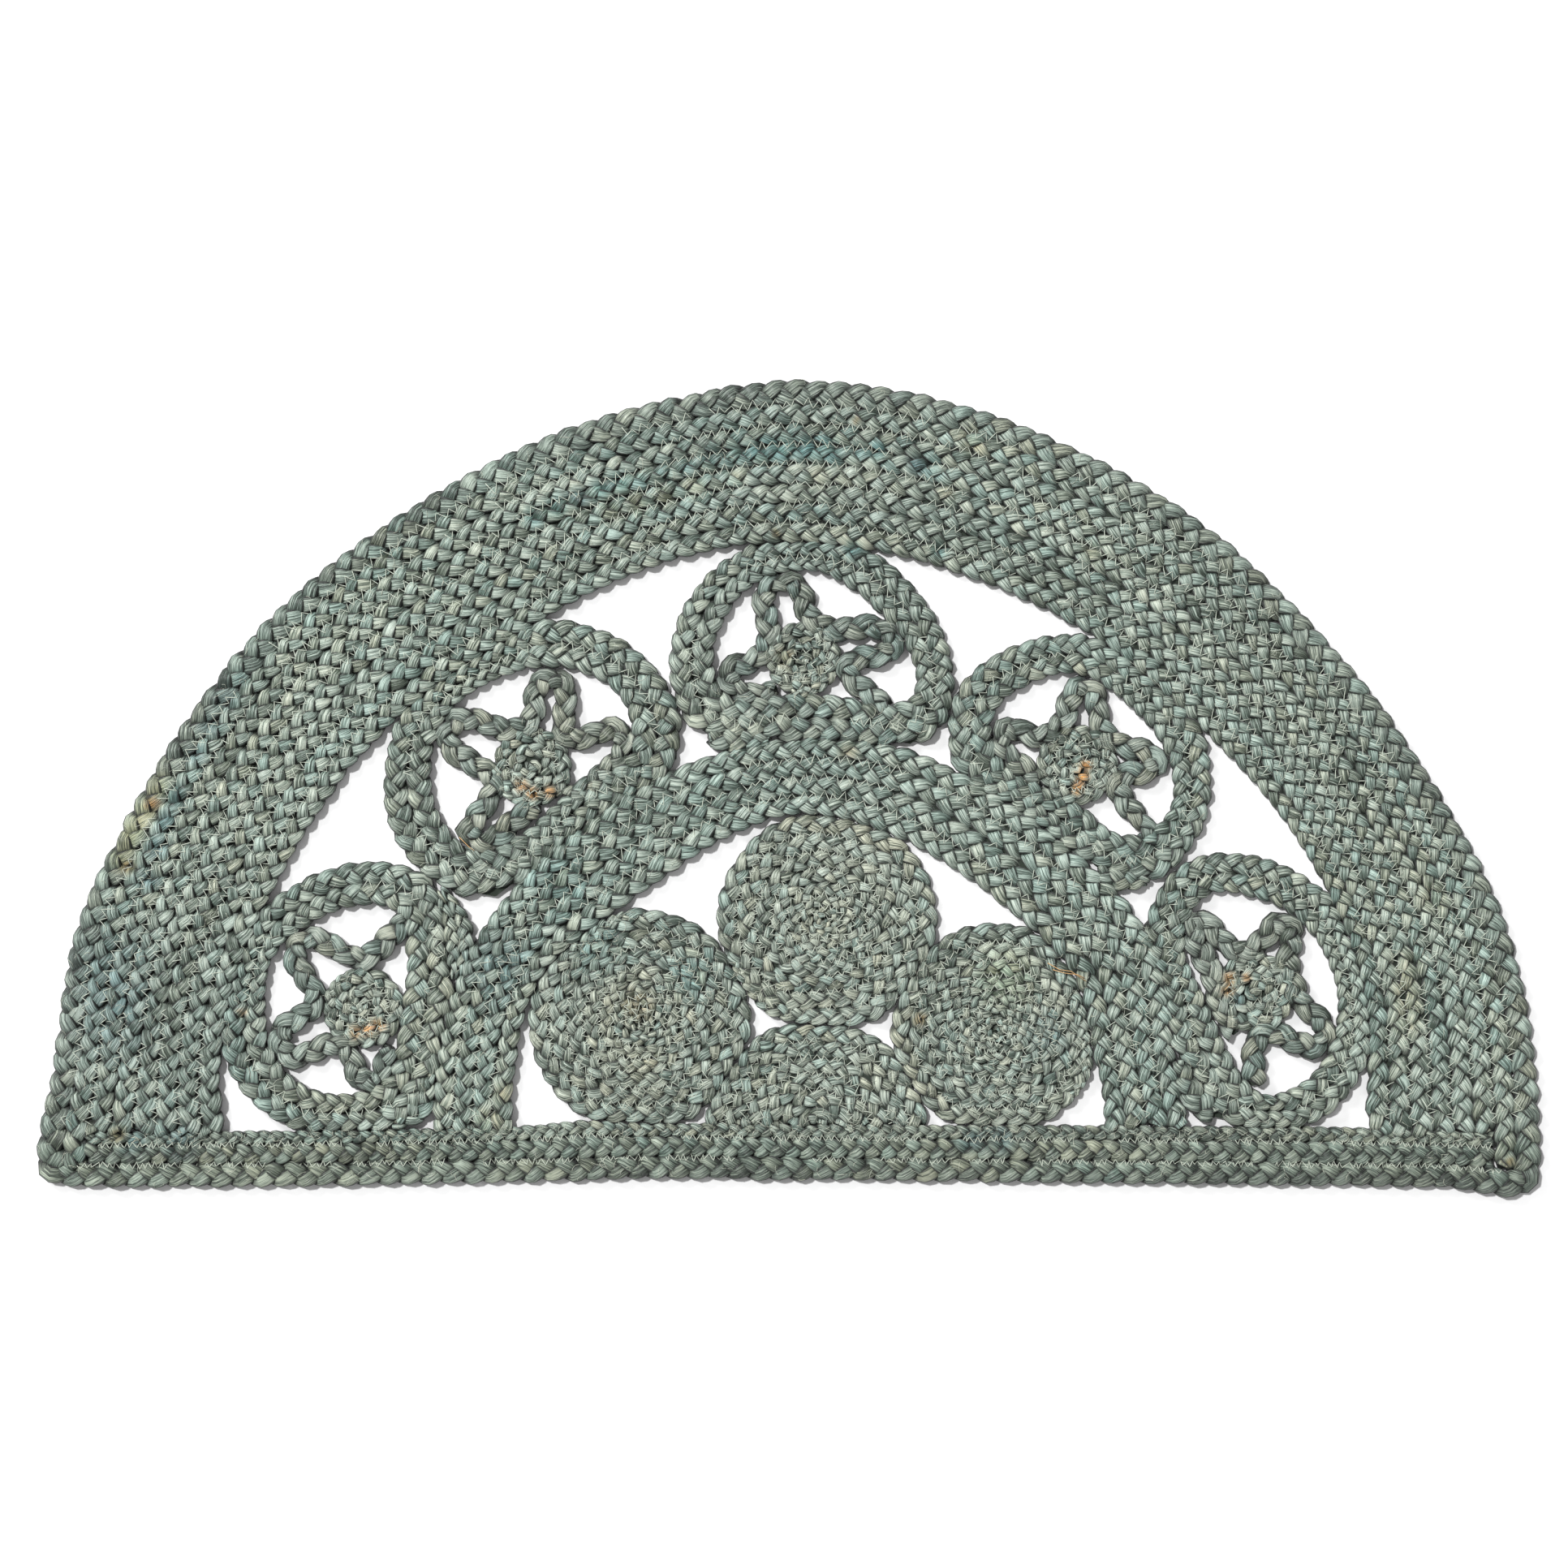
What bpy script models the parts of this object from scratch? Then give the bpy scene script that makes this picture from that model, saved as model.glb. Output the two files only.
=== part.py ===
"""Half-moon doormat of flat jute braids, each three strands wide, sewn side by side.

The mat lies flat with its underside on the plane z = 0. X runs along its straight edge and Y
towards the top of its arch. Each piece is a band or coil of braids: flat below, with one
rounded rib along its top for every row of braid.
"""
import math
from collections import namedtuple

import bmesh
import bpy
from mathutils import Vector

# Driving dimensions, in metres. The layout is drawn round the arch centre, which lies on the
# line where the straight band begins, and is set in the mat's own frame by ARCH_CENTRE.
ARCH_CENTRE = Vector((0.0066, -0.2051))
BRAID_THICKNESS = 0.0090
COIL_THICKNESS = 0.0082
SEAM_GAP = 0.0003
HUB_GAP = 0.0006
PRESS_GAP = 0.0006
EDGE_ROW_WIDTH = 0.0138
SPOKE_WIDTH = 0.0122
COIL_ROW_WIDTH = 0.0090
OUTER_ARCH_ROWS = 7
INNER_ARCH_ROWS = 4
BAND_ROWS = 2
RING_ROWS = 2
LEG_DEPTH = 0.0300

# The spoke braid's middle keeps this share of its half width off the hub and the ring, and each
# section is at least this far past the one before on both sides.
SQUEEZE = 0.7
LEAST_ADVANCE = 0.0004

# The section of one row of braid, as shares of its width and height.
SHOULDER = 0.24
VALLEY = 0.70
SIDE = 0.45
FOOT_INSET = 0.12
SHARP_ANGLE = 50

# Steps of the sections along each kind of piece, in degrees or metres.
EDGE_STEP = 4.5
OUTER_ARCH_STEP = 4.5
INNER_ARCH_STEP = 5
RING_STEP = 7.5
DISC_STEP = 12
CORNER_STEP = 22.5
SPOKE_STEP = 0.0062
EDGE_BASE_STEP = 0.040
HUB_STEPS = 20

# The slab that cuts the feet: how far it runs past the mat to each side, below its straight edge,
# under its underside and over its top.
CUTTER_REACH = 0.5000
CUTTER_FLOOR = -0.0800
CUTTER_UNDER = -0.0100
CUTTER_HEIGHT = 0.0300

# Outlines of the two arches by the angle round the arch centre.
ArchRow = namedtuple("ArchRow", "angle inner outer")
OUTER_ARCH = [
    ArchRow(0, 0.3370, 0.4420),
    ArchRow(15, 0.3480, 0.4403),
    ArchRow(30, 0.3450, 0.4320),
    ArchRow(45, 0.3400, 0.4310),
    ArchRow(60, 0.3445, 0.4375),
    ArchRow(67.5, 0.3452, 0.4395),
    ArchRow(75, 0.3476, 0.4438),
    ArchRow(90, 0.3520, 0.4492),
    ArchRow(97.5, 0.3520, 0.4456),
    ArchRow(112.5, 0.3445, 0.4410),
    ArchRow(120, 0.3415, 0.4390),
    ArchRow(135, 0.3450, 0.4406),
    ArchRow(150, 0.3450, 0.4418),
    ArchRow(157.5, 0.3470, 0.4437),
    ArchRow(165, 0.3490, 0.4498),
    ArchRow(172.5, 0.3495, 0.4460),
    ArchRow(176.5, 0.3470, 0.4480),
    ArchRow(180, 0.3435, 0.4540),
]
INNER_ARCH = [
    ArchRow(0, 0.1820, 0.2345),
    ArchRow(7.5, 0.1830, 0.2270),
    ArchRow(15, 0.1815, 0.2300),
    ArchRow(30, 0.1890, 0.2395),
    ArchRow(45, 0.1825, 0.2345),
    ArchRow(60, 0.1823, 0.2330),
    ArchRow(75, 0.1865, 0.2375),
    ArchRow(90, 0.1900, 0.2340),
    ArchRow(105, 0.1810, 0.2304),
    ArchRow(120, 0.1710, 0.2250),
    ArchRow(135, 0.1740, 0.2235),
    ArchRow(150, 0.1805, 0.2246),
    ArchRow(165, 0.1750, 0.2210),
    ArchRow(180, 0.1716, 0.2180),
]

# The straight side: where the band begins, where the edge braid meets it, and the mat's edge.
BaseRow = namedtuple("BaseRow", "x top seam bottom")
BASE = [
    BaseRow(-0.4700, 0.0000, -0.0198, -0.0326),
    BaseRow(-0.3400, 0.0000, -0.0198, -0.0328),
    BaseRow(-0.1650, 0.0028, -0.0175, -0.0297),
    BaseRow(-0.1350, 0.0068, -0.0160, -0.0284),
    BaseRow(-0.0950, 0.0052, -0.0148, -0.0270),
    BaseRow(0.0000, 0.0042, -0.0160, -0.0284),
    BaseRow(0.1650, 0.0038, -0.0178, -0.0302),
    BaseRow(0.3200, 0.0028, -0.0196, -0.0320),
    BaseRow(0.3950, 0.0004, -0.0204, -0.0328),
    BaseRow(0.4600, -0.0018, -0.0282, -0.0418),
]
# The edge braid turns both corners about a pivot, wider on the side than below.
Corner = namedtuple("Corner", "inner_radius side_radius base_radius")
LEFT_CORNER = Corner(SEAM_GAP, 0.0160, 0.0127)
RIGHT_CORNER = Corner(SEAM_GAP, 0.0148, 0.0150)

# Each wheel has a ring of two rows, with its radii every 30 degrees from +X before it is
# pressed against its neighbours, a coiled hub, and one spoke braid that runs back and forth
# between them. Hub centres and spoke routes are measured from the wheel's own centre.
Wheel = namedtuple("Wheel", "centre hub hub_radius outer inner route")
WHEELS = [
    Wheel(
        centre=(-0.2697, 0.0799), hub=(0.0092, -0.0060), hub_radius=0.0226,
        outer=(0.066, 0.085, 0.086, 0.079, 0.073, 0.080, 0.078, 0.082, 0.084, 0.084, 0.096, 0.094),
        inner=(0.034, 0.042, 0.060, 0.055, 0.050, 0.052, 0.050, 0.055, 0.059, 0.058, 0.052, 0.036),
        route=((0.034, 0.048), (0.025, 0.036), (0.014, 0.027), (0.002, 0.026), (-0.011, 0.032),
               (-0.022, 0.037), (-0.033, 0.034), (-0.032, 0.023), (-0.025, 0.011), (-0.021, 0.001),
               (-0.025, -0.008), (-0.036, -0.016), (-0.045, -0.024), (-0.043, -0.033),
               (-0.031, -0.036), (-0.019, -0.031), (-0.007, -0.029), (0.001, -0.035),
               (0.004, -0.046), (0.010, -0.054), (0.020, -0.052), (0.025, -0.041), (0.026, -0.031)),
    ),
    Wheel(
        centre=(-0.1598, 0.2227), hub=(0.0000, -0.0050), hub_radius=0.0222,
        outer=(0.090, 0.091, 0.087, 0.082, 0.082, 0.082, 0.086, 0.094, 0.092, 0.086, 0.086, 0.082),
        inner=(0.058, 0.065, 0.061, 0.055, 0.053, 0.057, 0.061, 0.065, 0.064, 0.042, 0.030, 0.034),
        route=((0.022, -0.026), (0.034, -0.017), (0.047, -0.008), (0.057, 0.004), (0.056, 0.017),
               (0.044, 0.018), (0.031, 0.012), (0.021, 0.015), (0.020, 0.031), (0.020, 0.044),
               (0.011, 0.050), (0.002, 0.043), (0.002, 0.029), (-0.004, 0.021), (-0.016, 0.019),
               (-0.030, 0.022), (-0.045, 0.025), (-0.054, 0.018), (-0.050, 0.008),
               (-0.037, -0.002), (-0.026, -0.010), (-0.024, -0.020), (-0.032, -0.033),
               (-0.040, -0.045), (-0.033, -0.053), (-0.021, -0.046), (-0.007, -0.036),
               (0.006, -0.033)),
    ),
    Wheel(
        centre=(0.0087, 0.2895), hub=(-0.0060, -0.0072), hub_radius=0.0206,
        outer=(0.079, 0.069, 0.066, 0.066, 0.070, 0.077, 0.085, 0.088, 0.080, 0.076, 0.079, 0.090),
        inner=(0.057, 0.044, 0.042, 0.046, 0.050, 0.055, 0.060, 0.060, 0.034, 0.028, 0.037, 0.066),
        route=((-0.024, -0.029), (-0.036, -0.029), (-0.048, -0.026), (-0.056, -0.019),
               (-0.050, -0.012), (-0.038, -0.008), (-0.030, 0.001), (-0.029, 0.016),
               (-0.031, 0.031), (-0.024, 0.039), (-0.013, 0.040), (-0.007, 0.032), (-0.003, 0.020),
               (0.006, 0.013), (0.022, 0.012), (0.038, 0.012), (0.050, 0.006), (0.048, -0.003),
               (0.035, -0.005), (0.021, -0.010), (0.024, -0.020), (0.036, -0.030), (0.046, -0.037)),
    ),
    Wheel(
        centre=(0.1670, 0.2212), hub=(-0.0010, -0.0020), hub_radius=0.0224,
        outer=(0.077, 0.073, 0.071, 0.075, 0.078, 0.084, 0.076, 0.084, 0.084, 0.078, 0.084, 0.083),
        inner=(0.055, 0.047, 0.046, 0.053, 0.055, 0.059, 0.048, 0.029, 0.023, 0.028, 0.053, 0.062),
        route=((-0.025, -0.014), (-0.034, -0.005), (-0.044, 0.004), (-0.051, 0.014),
               (-0.047, 0.022), (-0.037, 0.019), (-0.027, 0.016), (-0.018, 0.018), (-0.009, 0.027),
               (-0.006, 0.039), (0.002, 0.047), (0.010, 0.041), (0.012, 0.029), (0.018, 0.017),
               (0.028, 0.010), (0.039, 0.007), (0.049, 0.001), (0.043, -0.007), (0.031, -0.007),
               (0.024, -0.016), (0.030, -0.028), (0.040, -0.039), (0.045, -0.046)),
    ),
    Wheel(
        centre=(0.2750, 0.0838), hub=(-0.0030, -0.0005), hub_radius=0.0224,
        outer=(0.070, 0.070, 0.071, 0.079, 0.088, 0.079, 0.073, 0.079, 0.083, 0.087, 0.083, 0.075),
        inner=(0.047, 0.045, 0.049, 0.056, 0.066, 0.054, 0.036, 0.033, 0.041, 0.062, 0.060, 0.052),
        route=((-0.014, -0.026), (-0.022, -0.021), (-0.027, -0.011), (-0.029, 0.004),
               (-0.034, 0.020), (-0.041, 0.035), (-0.038, 0.047), (-0.031, 0.041), (-0.022, 0.030),
               (-0.009, 0.026), (0.004, 0.034), (0.012, 0.044), (0.020, 0.038), (0.018, 0.024),
               (0.018, 0.010), (0.025, -0.006), (0.036, -0.016), (0.042, -0.026), (0.036, -0.034),
               (0.022, -0.031), (0.007, -0.026), (-0.003, -0.033), (-0.004, -0.046),
               (-0.002, -0.058)),
    ),
]

# Four coiled discs fill the inner arch. The lowest lies half under the straight band's line.
Disc = namedtuple("Disc", "name centre radius")
DISCS = [
    Disc("disc_left", (-0.0954, 0.0663), 0.0662),
    Disc("disc_top", (0.0165, 0.1259), 0.0655),
    Disc("disc_right", (0.1176, 0.0615), 0.0628),
    Disc("half_disc", (0.0097, 0.0000), 0.0674),
]

# Jute colours as linear RGB, and how matt the dry fibre is.
SAGE = (0.205, 0.245, 0.210, 1.0)
DEEP_SAGE = (0.165, 0.215, 0.190, 1.0)
PALE_SAGE = (0.240, 0.275, 0.230, 1.0)
FIBRE_ROUGHNESS = 0.75


def clear_scene():
    for old in list(bpy.data.objects):
        bpy.data.objects.remove(old, do_unlink=True)


def new_collection(name):
    collection = bpy.data.collections.new(name)
    bpy.context.scene.collection.children.link(collection)
    return collection


def jute_material(name, colour):
    material = bpy.data.materials.new(name)
    material.use_nodes = True
    shader = material.node_tree.nodes["Principled BSDF"]
    shader.inputs["Base Color"].default_value = colour
    shader.inputs["Roughness"].default_value = FIBRE_ROUGHNESS
    shader.inputs["Metallic"].default_value = 0.0
    return material


def smooth_value(xs, ys, x):
    """A value between the rows of a table, on a cubic that passes through each row."""
    last = len(xs) - 1
    i = max(0, min(last - 1, sum(1 for value in xs if value <= x) - 1))

    def slope(k):
        low, high = max(0, k - 1), min(last, k + 1)
        return (ys[high] - ys[low]) / (xs[high] - xs[low])

    span = xs[i + 1] - xs[i]
    t = (x - xs[i]) / span
    start = (1 + 2 * t) * (1 - t) ** 2 * ys[i] + t * (1 - t) ** 2 * span * slope(i)
    end = t * t * (3 - 2 * t) * ys[i + 1] + t * t * (t - 1) * span * slope(i + 1)
    return start + end


def arch_radius(table, column, angle):
    return smooth_value([row.angle for row in table], [getattr(row, column) for row in table], angle)


def base_line(column, x):
    """Height of one of the straight side's lines at x, straight between the table's rows."""
    for left, right in zip(BASE, BASE[1:]):
        if x <= right.x or right is BASE[-1]:
            share = (x - left.x) / (right.x - left.x)
            low = getattr(left, column)
            return low + share * (getattr(right, column) - low)


def ring_radius(radii, angle):
    """Radius at an angle from radii listed every equal step round the circle."""
    step = 360 / len(radii)
    start = math.floor(angle / step) - 1
    xs = [(start + k) * step for k in range(4)]
    ys = [radii[(start + k) % len(radii)] for k in range(4)]
    return smooth_value(xs, ys, angle)


def polar(radius, angle):
    turn = math.radians(angle)
    return Vector((radius * math.cos(turn), radius * math.sin(turn)))


def smooth_route(points, spacing):
    """Points at an even spacing along a smooth curve through the given ones."""
    points = [Vector(p) for p in points]
    lengths = [0.0]
    for a, b in zip(points, points[1:]):
        lengths.append(lengths[-1] + (b - a).length)
    count = round(lengths[-1] / spacing)
    route = []
    for k in range(count + 1):
        along = lengths[-1] * k / count
        x = smooth_value(lengths, [p.x for p in points], along)
        y = smooth_value(lengths, [p.y for p in points], along)
        route.append(Vector((x, y)))
    return route


def distance_to_walls(origin, angle, walls):
    """Distance from a point along an angle to the first wall, a wall being a row of points."""
    direction = polar(1, angle)
    nearest = math.inf
    for wall in walls:
        for a, b in zip(wall, wall[1:]):
            side = b - a
            facing = direction.cross(side)
            if facing == 0:
                continue
            reach = (a - origin).cross(side) / facing
            place = (a - origin).cross(direction) / facing
            if reach > 0 and 0 <= place <= 1:
                nearest = min(nearest, reach)
    return nearest


def press_line(centre_a, radius_a, centre_b, radius_b):
    """The straight line on which two round pieces meet and flatten each other."""
    between = centre_b - centre_a
    overlap = radius_a + radius_b - between.length
    foot = centre_a + between.normalized() * (radius_a - overlap / 2)
    across = Vector((-between.y, between.x)).normalized() * max(radius_a, radius_b)
    return [foot - across, foot + across]


def band_profile(rows, height):
    """Section of rows of braid side by side: shares of the width, and heights."""
    inset = FOOT_INSET / rows
    points = [(inset, 0), (1 - inset, 0), (1, SIDE * height)]
    for row in reversed(range(rows)):
        points.append(((row + 1 - SHOULDER) / rows, height))
        points.append(((row + SHOULDER) / rows, height))
        if row:
            points.append((row / rows, VALLEY * height))
    points.append((0, SIDE * height))
    return points


def mesh_object(name, bm, material, collection):
    bmesh.ops.recalc_face_normals(bm, faces=bm.faces)
    mesh = bpy.data.meshes.new(name)
    bm.to_mesh(mesh)
    bm.free()
    mesh.shade_smooth()
    mesh.set_sharp_from_angle(angle=math.radians(SHARP_ANGLE))
    mesh.materials.append(material)
    piece = bpy.data.objects.new(name, mesh)
    piece.location = ARCH_CENTRE.to_3d()
    collection.objects.link(piece)
    return piece


def loft_band(name, sections, rows, height, closed, material, collection):
    """A band of braids through sections, each a pair of points on its inner and outer edge."""
    profile = band_profile(rows, height)
    bm = bmesh.new()
    rings = []
    for inner, outer in sections:
        ring = []
        for share, z in profile:
            place = inner.lerp(outer, share)
            ring.append(bm.verts.new((place.x, place.y, z)))
        rings.append(ring)
    following = rings[1:] + rings[:1] if closed else rings[1:]
    for ring, after in zip(rings, following):
        for k in range(len(profile)):
            n = (k + 1) % len(profile)
            bm.faces.new((ring[k], ring[n], after[n], after[k]))
    if not closed:
        bm.faces.new(rings[0])
        bm.faces.new(rings[-1])
    return mesh_object(name, bm, material, collection)


def arch_sections(table, rim, step, leg_depth):
    """Sections of an arch from foot to foot, its legs run on straight below the line y = 0."""
    count = round(180 / step)
    sections = []
    for k in range(count + 1):
        angle = 180 * k / count
        inner = polar(arch_radius(table, "inner", angle), angle)
        outer = polar(arch_radius(table, "outer", angle) - rim, angle)
        sections.append((inner, outer))
    drop = Vector((0, -leg_depth))
    first = tuple(point + drop for point in sections[0])
    last = tuple(point + drop for point in sections[-1])
    return [first] + sections + [last]


def edge_sections():
    """The edge braid: round the arch, about the left corner, along the base, and back up."""
    width = EDGE_ROW_WIDTH
    count = round(180 / EDGE_STEP)
    sections = []
    for k in range(count + 1):
        angle = 180 * k / count
        radius = arch_radius(OUTER_ARCH, "outer", angle)
        sections.append((polar(radius - width, angle), polar(radius, angle)))
    left_x = sections[-1][0].x + LEFT_CORNER.inner_radius
    right_x = sections[0][0].x - RIGHT_CORNER.inner_radius
    sections += corner_sections(left_x, LEFT_CORNER, 180, 270)
    steps = round((right_x - left_x) / EDGE_BASE_STEP)
    for k in range(1, steps):
        x = left_x + (right_x - left_x) * k / steps
        sections.append((Vector((x, base_line("seam", x))), Vector((x, base_line("bottom", x)))))
    sections += corner_sections(right_x, RIGHT_CORNER, 270, 360)
    return sections


def corner_sections(pivot_x, corner, start, end):
    pivot = Vector((pivot_x, base_line("seam", pivot_x) + corner.inner_radius))
    count = round((end - start) / CORNER_STEP)
    sections = []
    for k in range(count + 1):
        angle = start + (end - start) * k / count
        to_base = 1 - abs(angle - 270) / 90
        reach = corner.side_radius + to_base * (corner.base_radius - corner.side_radius)
        sections.append((pivot + polar(corner.inner_radius, angle), pivot + polar(reach, angle)))
    return sections


def band_ends():
    """Where the straight band ends: against the second row of braid in each leg."""
    ends = []
    for angle in (180, 0):
        inner = arch_radius(OUTER_ARCH, "inner", angle)
        outer = arch_radius(OUTER_ARCH, "outer", angle) - EDGE_ROW_WIDTH
        ends.append(polar(inner + (outer - inner) * (1 - 1 / OUTER_ARCH_ROWS), angle).x)
    return ends


def base_points(column, left, right, shift):
    """Points of one of the straight side's lines from left to right, moved up by shift."""
    xs = [left] + [row.x for row in BASE if left < row.x < right] + [right]
    return [Vector((x, base_line(column, x) + shift)) for x in xs]


def straight_band(material, collection):
    left, right = band_ends()
    tops = base_points("top", left + SEAM_GAP, right - SEAM_GAP, 0)
    bottoms = [Vector((p.x, base_line("seam", p.x) + SEAM_GAP)) for p in tops]
    sections = list(zip(bottoms, tops))
    return loft_band("base_band", sections, BAND_ROWS, BRAID_THICKNESS, False, material, collection)


def foot_cutter(collection):
    """A slab over all that the feet of the arches and the lowest disc must leave free."""
    left, right = band_ends()
    outline = [Vector((-CUTTER_REACH, CUTTER_FLOOR)), Vector((CUTTER_REACH, CUTTER_FLOOR))]
    outline += reversed(base_points("seam", right, CUTTER_REACH, SEAM_GAP))
    outline += reversed(base_points("top", left, right, SEAM_GAP))
    outline += reversed(base_points("seam", -CUTTER_REACH, left, SEAM_GAP))
    bm = bmesh.new()
    low = [bm.verts.new((p.x, p.y, CUTTER_UNDER)) for p in outline]
    bm.faces.new(low)
    lifted = bmesh.ops.extrude_face_region(bm, geom=bm.faces[:])
    tops = [part for part in lifted["geom"] if isinstance(part, bmesh.types.BMVert)]
    bmesh.ops.translate(bm, verts=tops, vec=(0, 0, CUTTER_HEIGHT))
    cutter = mesh_object("foot_cutter", bm, bpy.data.materials.new("cutter"), collection)
    cutter.hide_render = True
    cutter.display_type = "WIRE"
    return cutter


def cut_feet(piece, cutter):
    cut = piece.modifiers.new("feet", "BOOLEAN")
    cut.operation = "DIFFERENCE"
    cut.solver = "EXACT"
    cut.object = cutter


def wheel_centres():
    return [Vector(wheel.centre) for wheel in WHEELS]


def wheel_walls(index, arch_walls):
    """What a wheel's ring is pressed against: arches, straight band and its two neighbours."""
    centres = wheel_centres()
    walls = list(arch_walls)
    for other in (index - 1, index + 1):
        if 0 <= other < len(WHEELS):
            towards = centres[other] - centres[index]
            angle = math.degrees(math.atan2(towards.y, towards.x))
            own = ring_radius(WHEELS[index].outer, angle)
            facing = ring_radius(WHEELS[other].outer, angle + 180)
            walls.append(press_line(centres[index], own, centres[other], facing))
    return walls


def ring_sections(index, arch_walls):
    """Sections of a wheel's ring, its outer edge kept off the walls and its inner off the hub."""
    wheel = WHEELS[index]
    centre = Vector(wheel.centre)
    hub = Vector(wheel.hub)
    walls = wheel_walls(index, arch_walls)
    count = round(360 / RING_STEP)
    sections = []
    for k in range(count):
        angle = 360 * k / count
        reach = distance_to_walls(centre, angle, walls) - PRESS_GAP
        outer = min(ring_radius(wheel.outer, angle), reach)
        along = hub.dot(polar(1, angle))
        clear_hub = wheel.hub_radius + HUB_GAP
        off_axis = hub.length_squared - along ** 2
        hub_side = along + math.sqrt(clear_hub ** 2 - off_axis)
        inner = max(ring_radius(wheel.inner, angle), hub_side)
        sections.append((centre + polar(inner, angle), centre + polar(outer, angle)))
    return sections


def kept_between(point, centre, hub, nearest, ring_wall, margin):
    """A point moved off the hub's rim, then inside the ring's inner edge by a margin."""
    off_hub = point - hub
    if off_hub.length < nearest + margin:
        point = hub + off_hub.normalized() * (nearest + margin)
    out = point - centre
    angle = math.degrees(math.atan2(out.y, out.x))
    furthest = distance_to_walls(centre, angle, [ring_wall]) - SEAM_GAP - margin
    if out.length > furthest:
        point = centre + out.normalized() * furthest
    return point


def spoke_sections(wheel, ring):
    """Sections of the spoke braid, squeezed where it meets the hub or the ring's inner edge."""
    centre = Vector(wheel.centre)
    hub = centre + Vector(wheel.hub)
    nearest = wheel.hub_radius + HUB_GAP
    ring_wall = [inner for inner, outer in ring]
    ring_wall.append(ring_wall[0])
    half = SPOKE_WIDTH / 2
    limits = (centre, hub, nearest, ring_wall)
    route = [centre + p for p in smooth_route(wheel.route, SPOKE_STEP)]
    route = [kept_between(place, *limits, SQUEEZE * half) for place in route]
    sections = []
    for k, place in enumerate(route):
        ahead = route[min(k + 1, len(route) - 1)] - route[max(k - 1, 0)]
        ahead.normalize()
        across = Vector((-ahead.y, ahead.x)) * half
        pair = [kept_between(place - across, *limits, 0), kept_between(place + across, *limits, 0)]
        if sections:
            for side in (0, 1):
                advance = (pair[side] - sections[-1][side]).dot(ahead)
                if advance < LEAST_ADVANCE:
                    pair[side] = pair[side] + ahead * (LEAST_ADVANCE - advance)
        sections.append(tuple(pair))
    return sections


def coil_profile(radius):
    """Half section of a coil from its middle to its rim: shares of its radius, and heights."""
    turns = int(radius / COIL_ROW_WIDTH)
    core = radius - turns * COIL_ROW_WIDTH
    points = [(0, COIL_THICKNESS), (core / radius, VALLEY * COIL_THICKNESS)]
    for turn in range(turns):
        start = core + turn * COIL_ROW_WIDTH
        points.append(((start + COIL_ROW_WIDTH / 2) / radius, COIL_THICKNESS))
        if turn < turns - 1:
            points.append(((start + COIL_ROW_WIDTH) / radius, VALLEY * COIL_THICKNESS))
    inset = FOOT_INSET * COIL_ROW_WIDTH / radius
    points.append((1, SIDE * COIL_THICKNESS))
    points.append((1 - inset, 0))
    return points


def turned_hub(name, centre, radius, material, collection):
    """A small coil, turned from its half section with a Screw modifier."""
    profile = [(share * radius, z) for share, z in coil_profile(radius)] + [(0, 0)]
    bm = bmesh.new()
    verts = [bm.verts.new((x, 0, z)) for x, z in profile]
    for a, b in zip(verts, verts[1:]):
        bm.edges.new((a, b))
    hub = mesh_object(name, bm, material, collection)
    hub.location = (ARCH_CENTRE + centre).to_3d()
    screw = hub.modifiers.new("turn", "SCREW")
    screw.steps = HUB_STEPS
    screw.render_steps = HUB_STEPS
    screw.use_merge_vertices = True
    screw.merge_threshold = 0.0001
    return hub


def pressed_disc(index, walls, material, collection):
    """A wide coil whose round outline is flattened where it meets its neighbours."""
    disc = DISCS[index]
    centre = Vector(disc.centre)
    walls = list(walls)
    for other in DISCS:
        if other is not disc:
            walls.append(press_line(centre, disc.radius, Vector(other.centre), other.radius))
    profile = coil_profile(disc.radius)
    bm = bmesh.new()
    middle = bm.verts.new((centre.x, centre.y, profile[0][1]))
    count = round(360 / DISC_STEP)
    spokes = []
    for k in range(count):
        angle = 360 * k / count
        reach = min(disc.radius, distance_to_walls(centre, angle, walls) - PRESS_GAP)
        places = [(centre + polar(share * reach, angle), z) for share, z in profile[1:]]
        spokes.append([bm.verts.new((place.x, place.y, z)) for place, z in places])
    for spoke, after in zip(spokes, spokes[1:] + spokes[:1]):
        bm.faces.new((middle, spoke[0], after[0]))
        for k in range(len(spoke) - 1):
            bm.faces.new((spoke[k], spoke[k + 1], after[k + 1], after[k]))
    bm.faces.new([spoke[-1] for spoke in spokes])
    return mesh_object(disc.name, bm, material, collection)


def build_wheel(index, arch_walls, jute, collection):
    wheel = WHEELS[index]
    number = index + 1
    ring = ring_sections(index, arch_walls)
    loft_band(f"wheel_ring_{number}", ring, RING_ROWS, BRAID_THICKNESS, True,
              jute["ring"], collection)
    loft_band(f"wheel_spokes_{number}", spoke_sections(wheel, ring), 1, BRAID_THICKNESS, False,
              jute["spoke"], collection)
    turned_hub(f"wheel_hub_{number}", Vector(wheel.centre) + Vector(wheel.hub), wheel.hub_radius,
               jute["coil"], collection)


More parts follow.
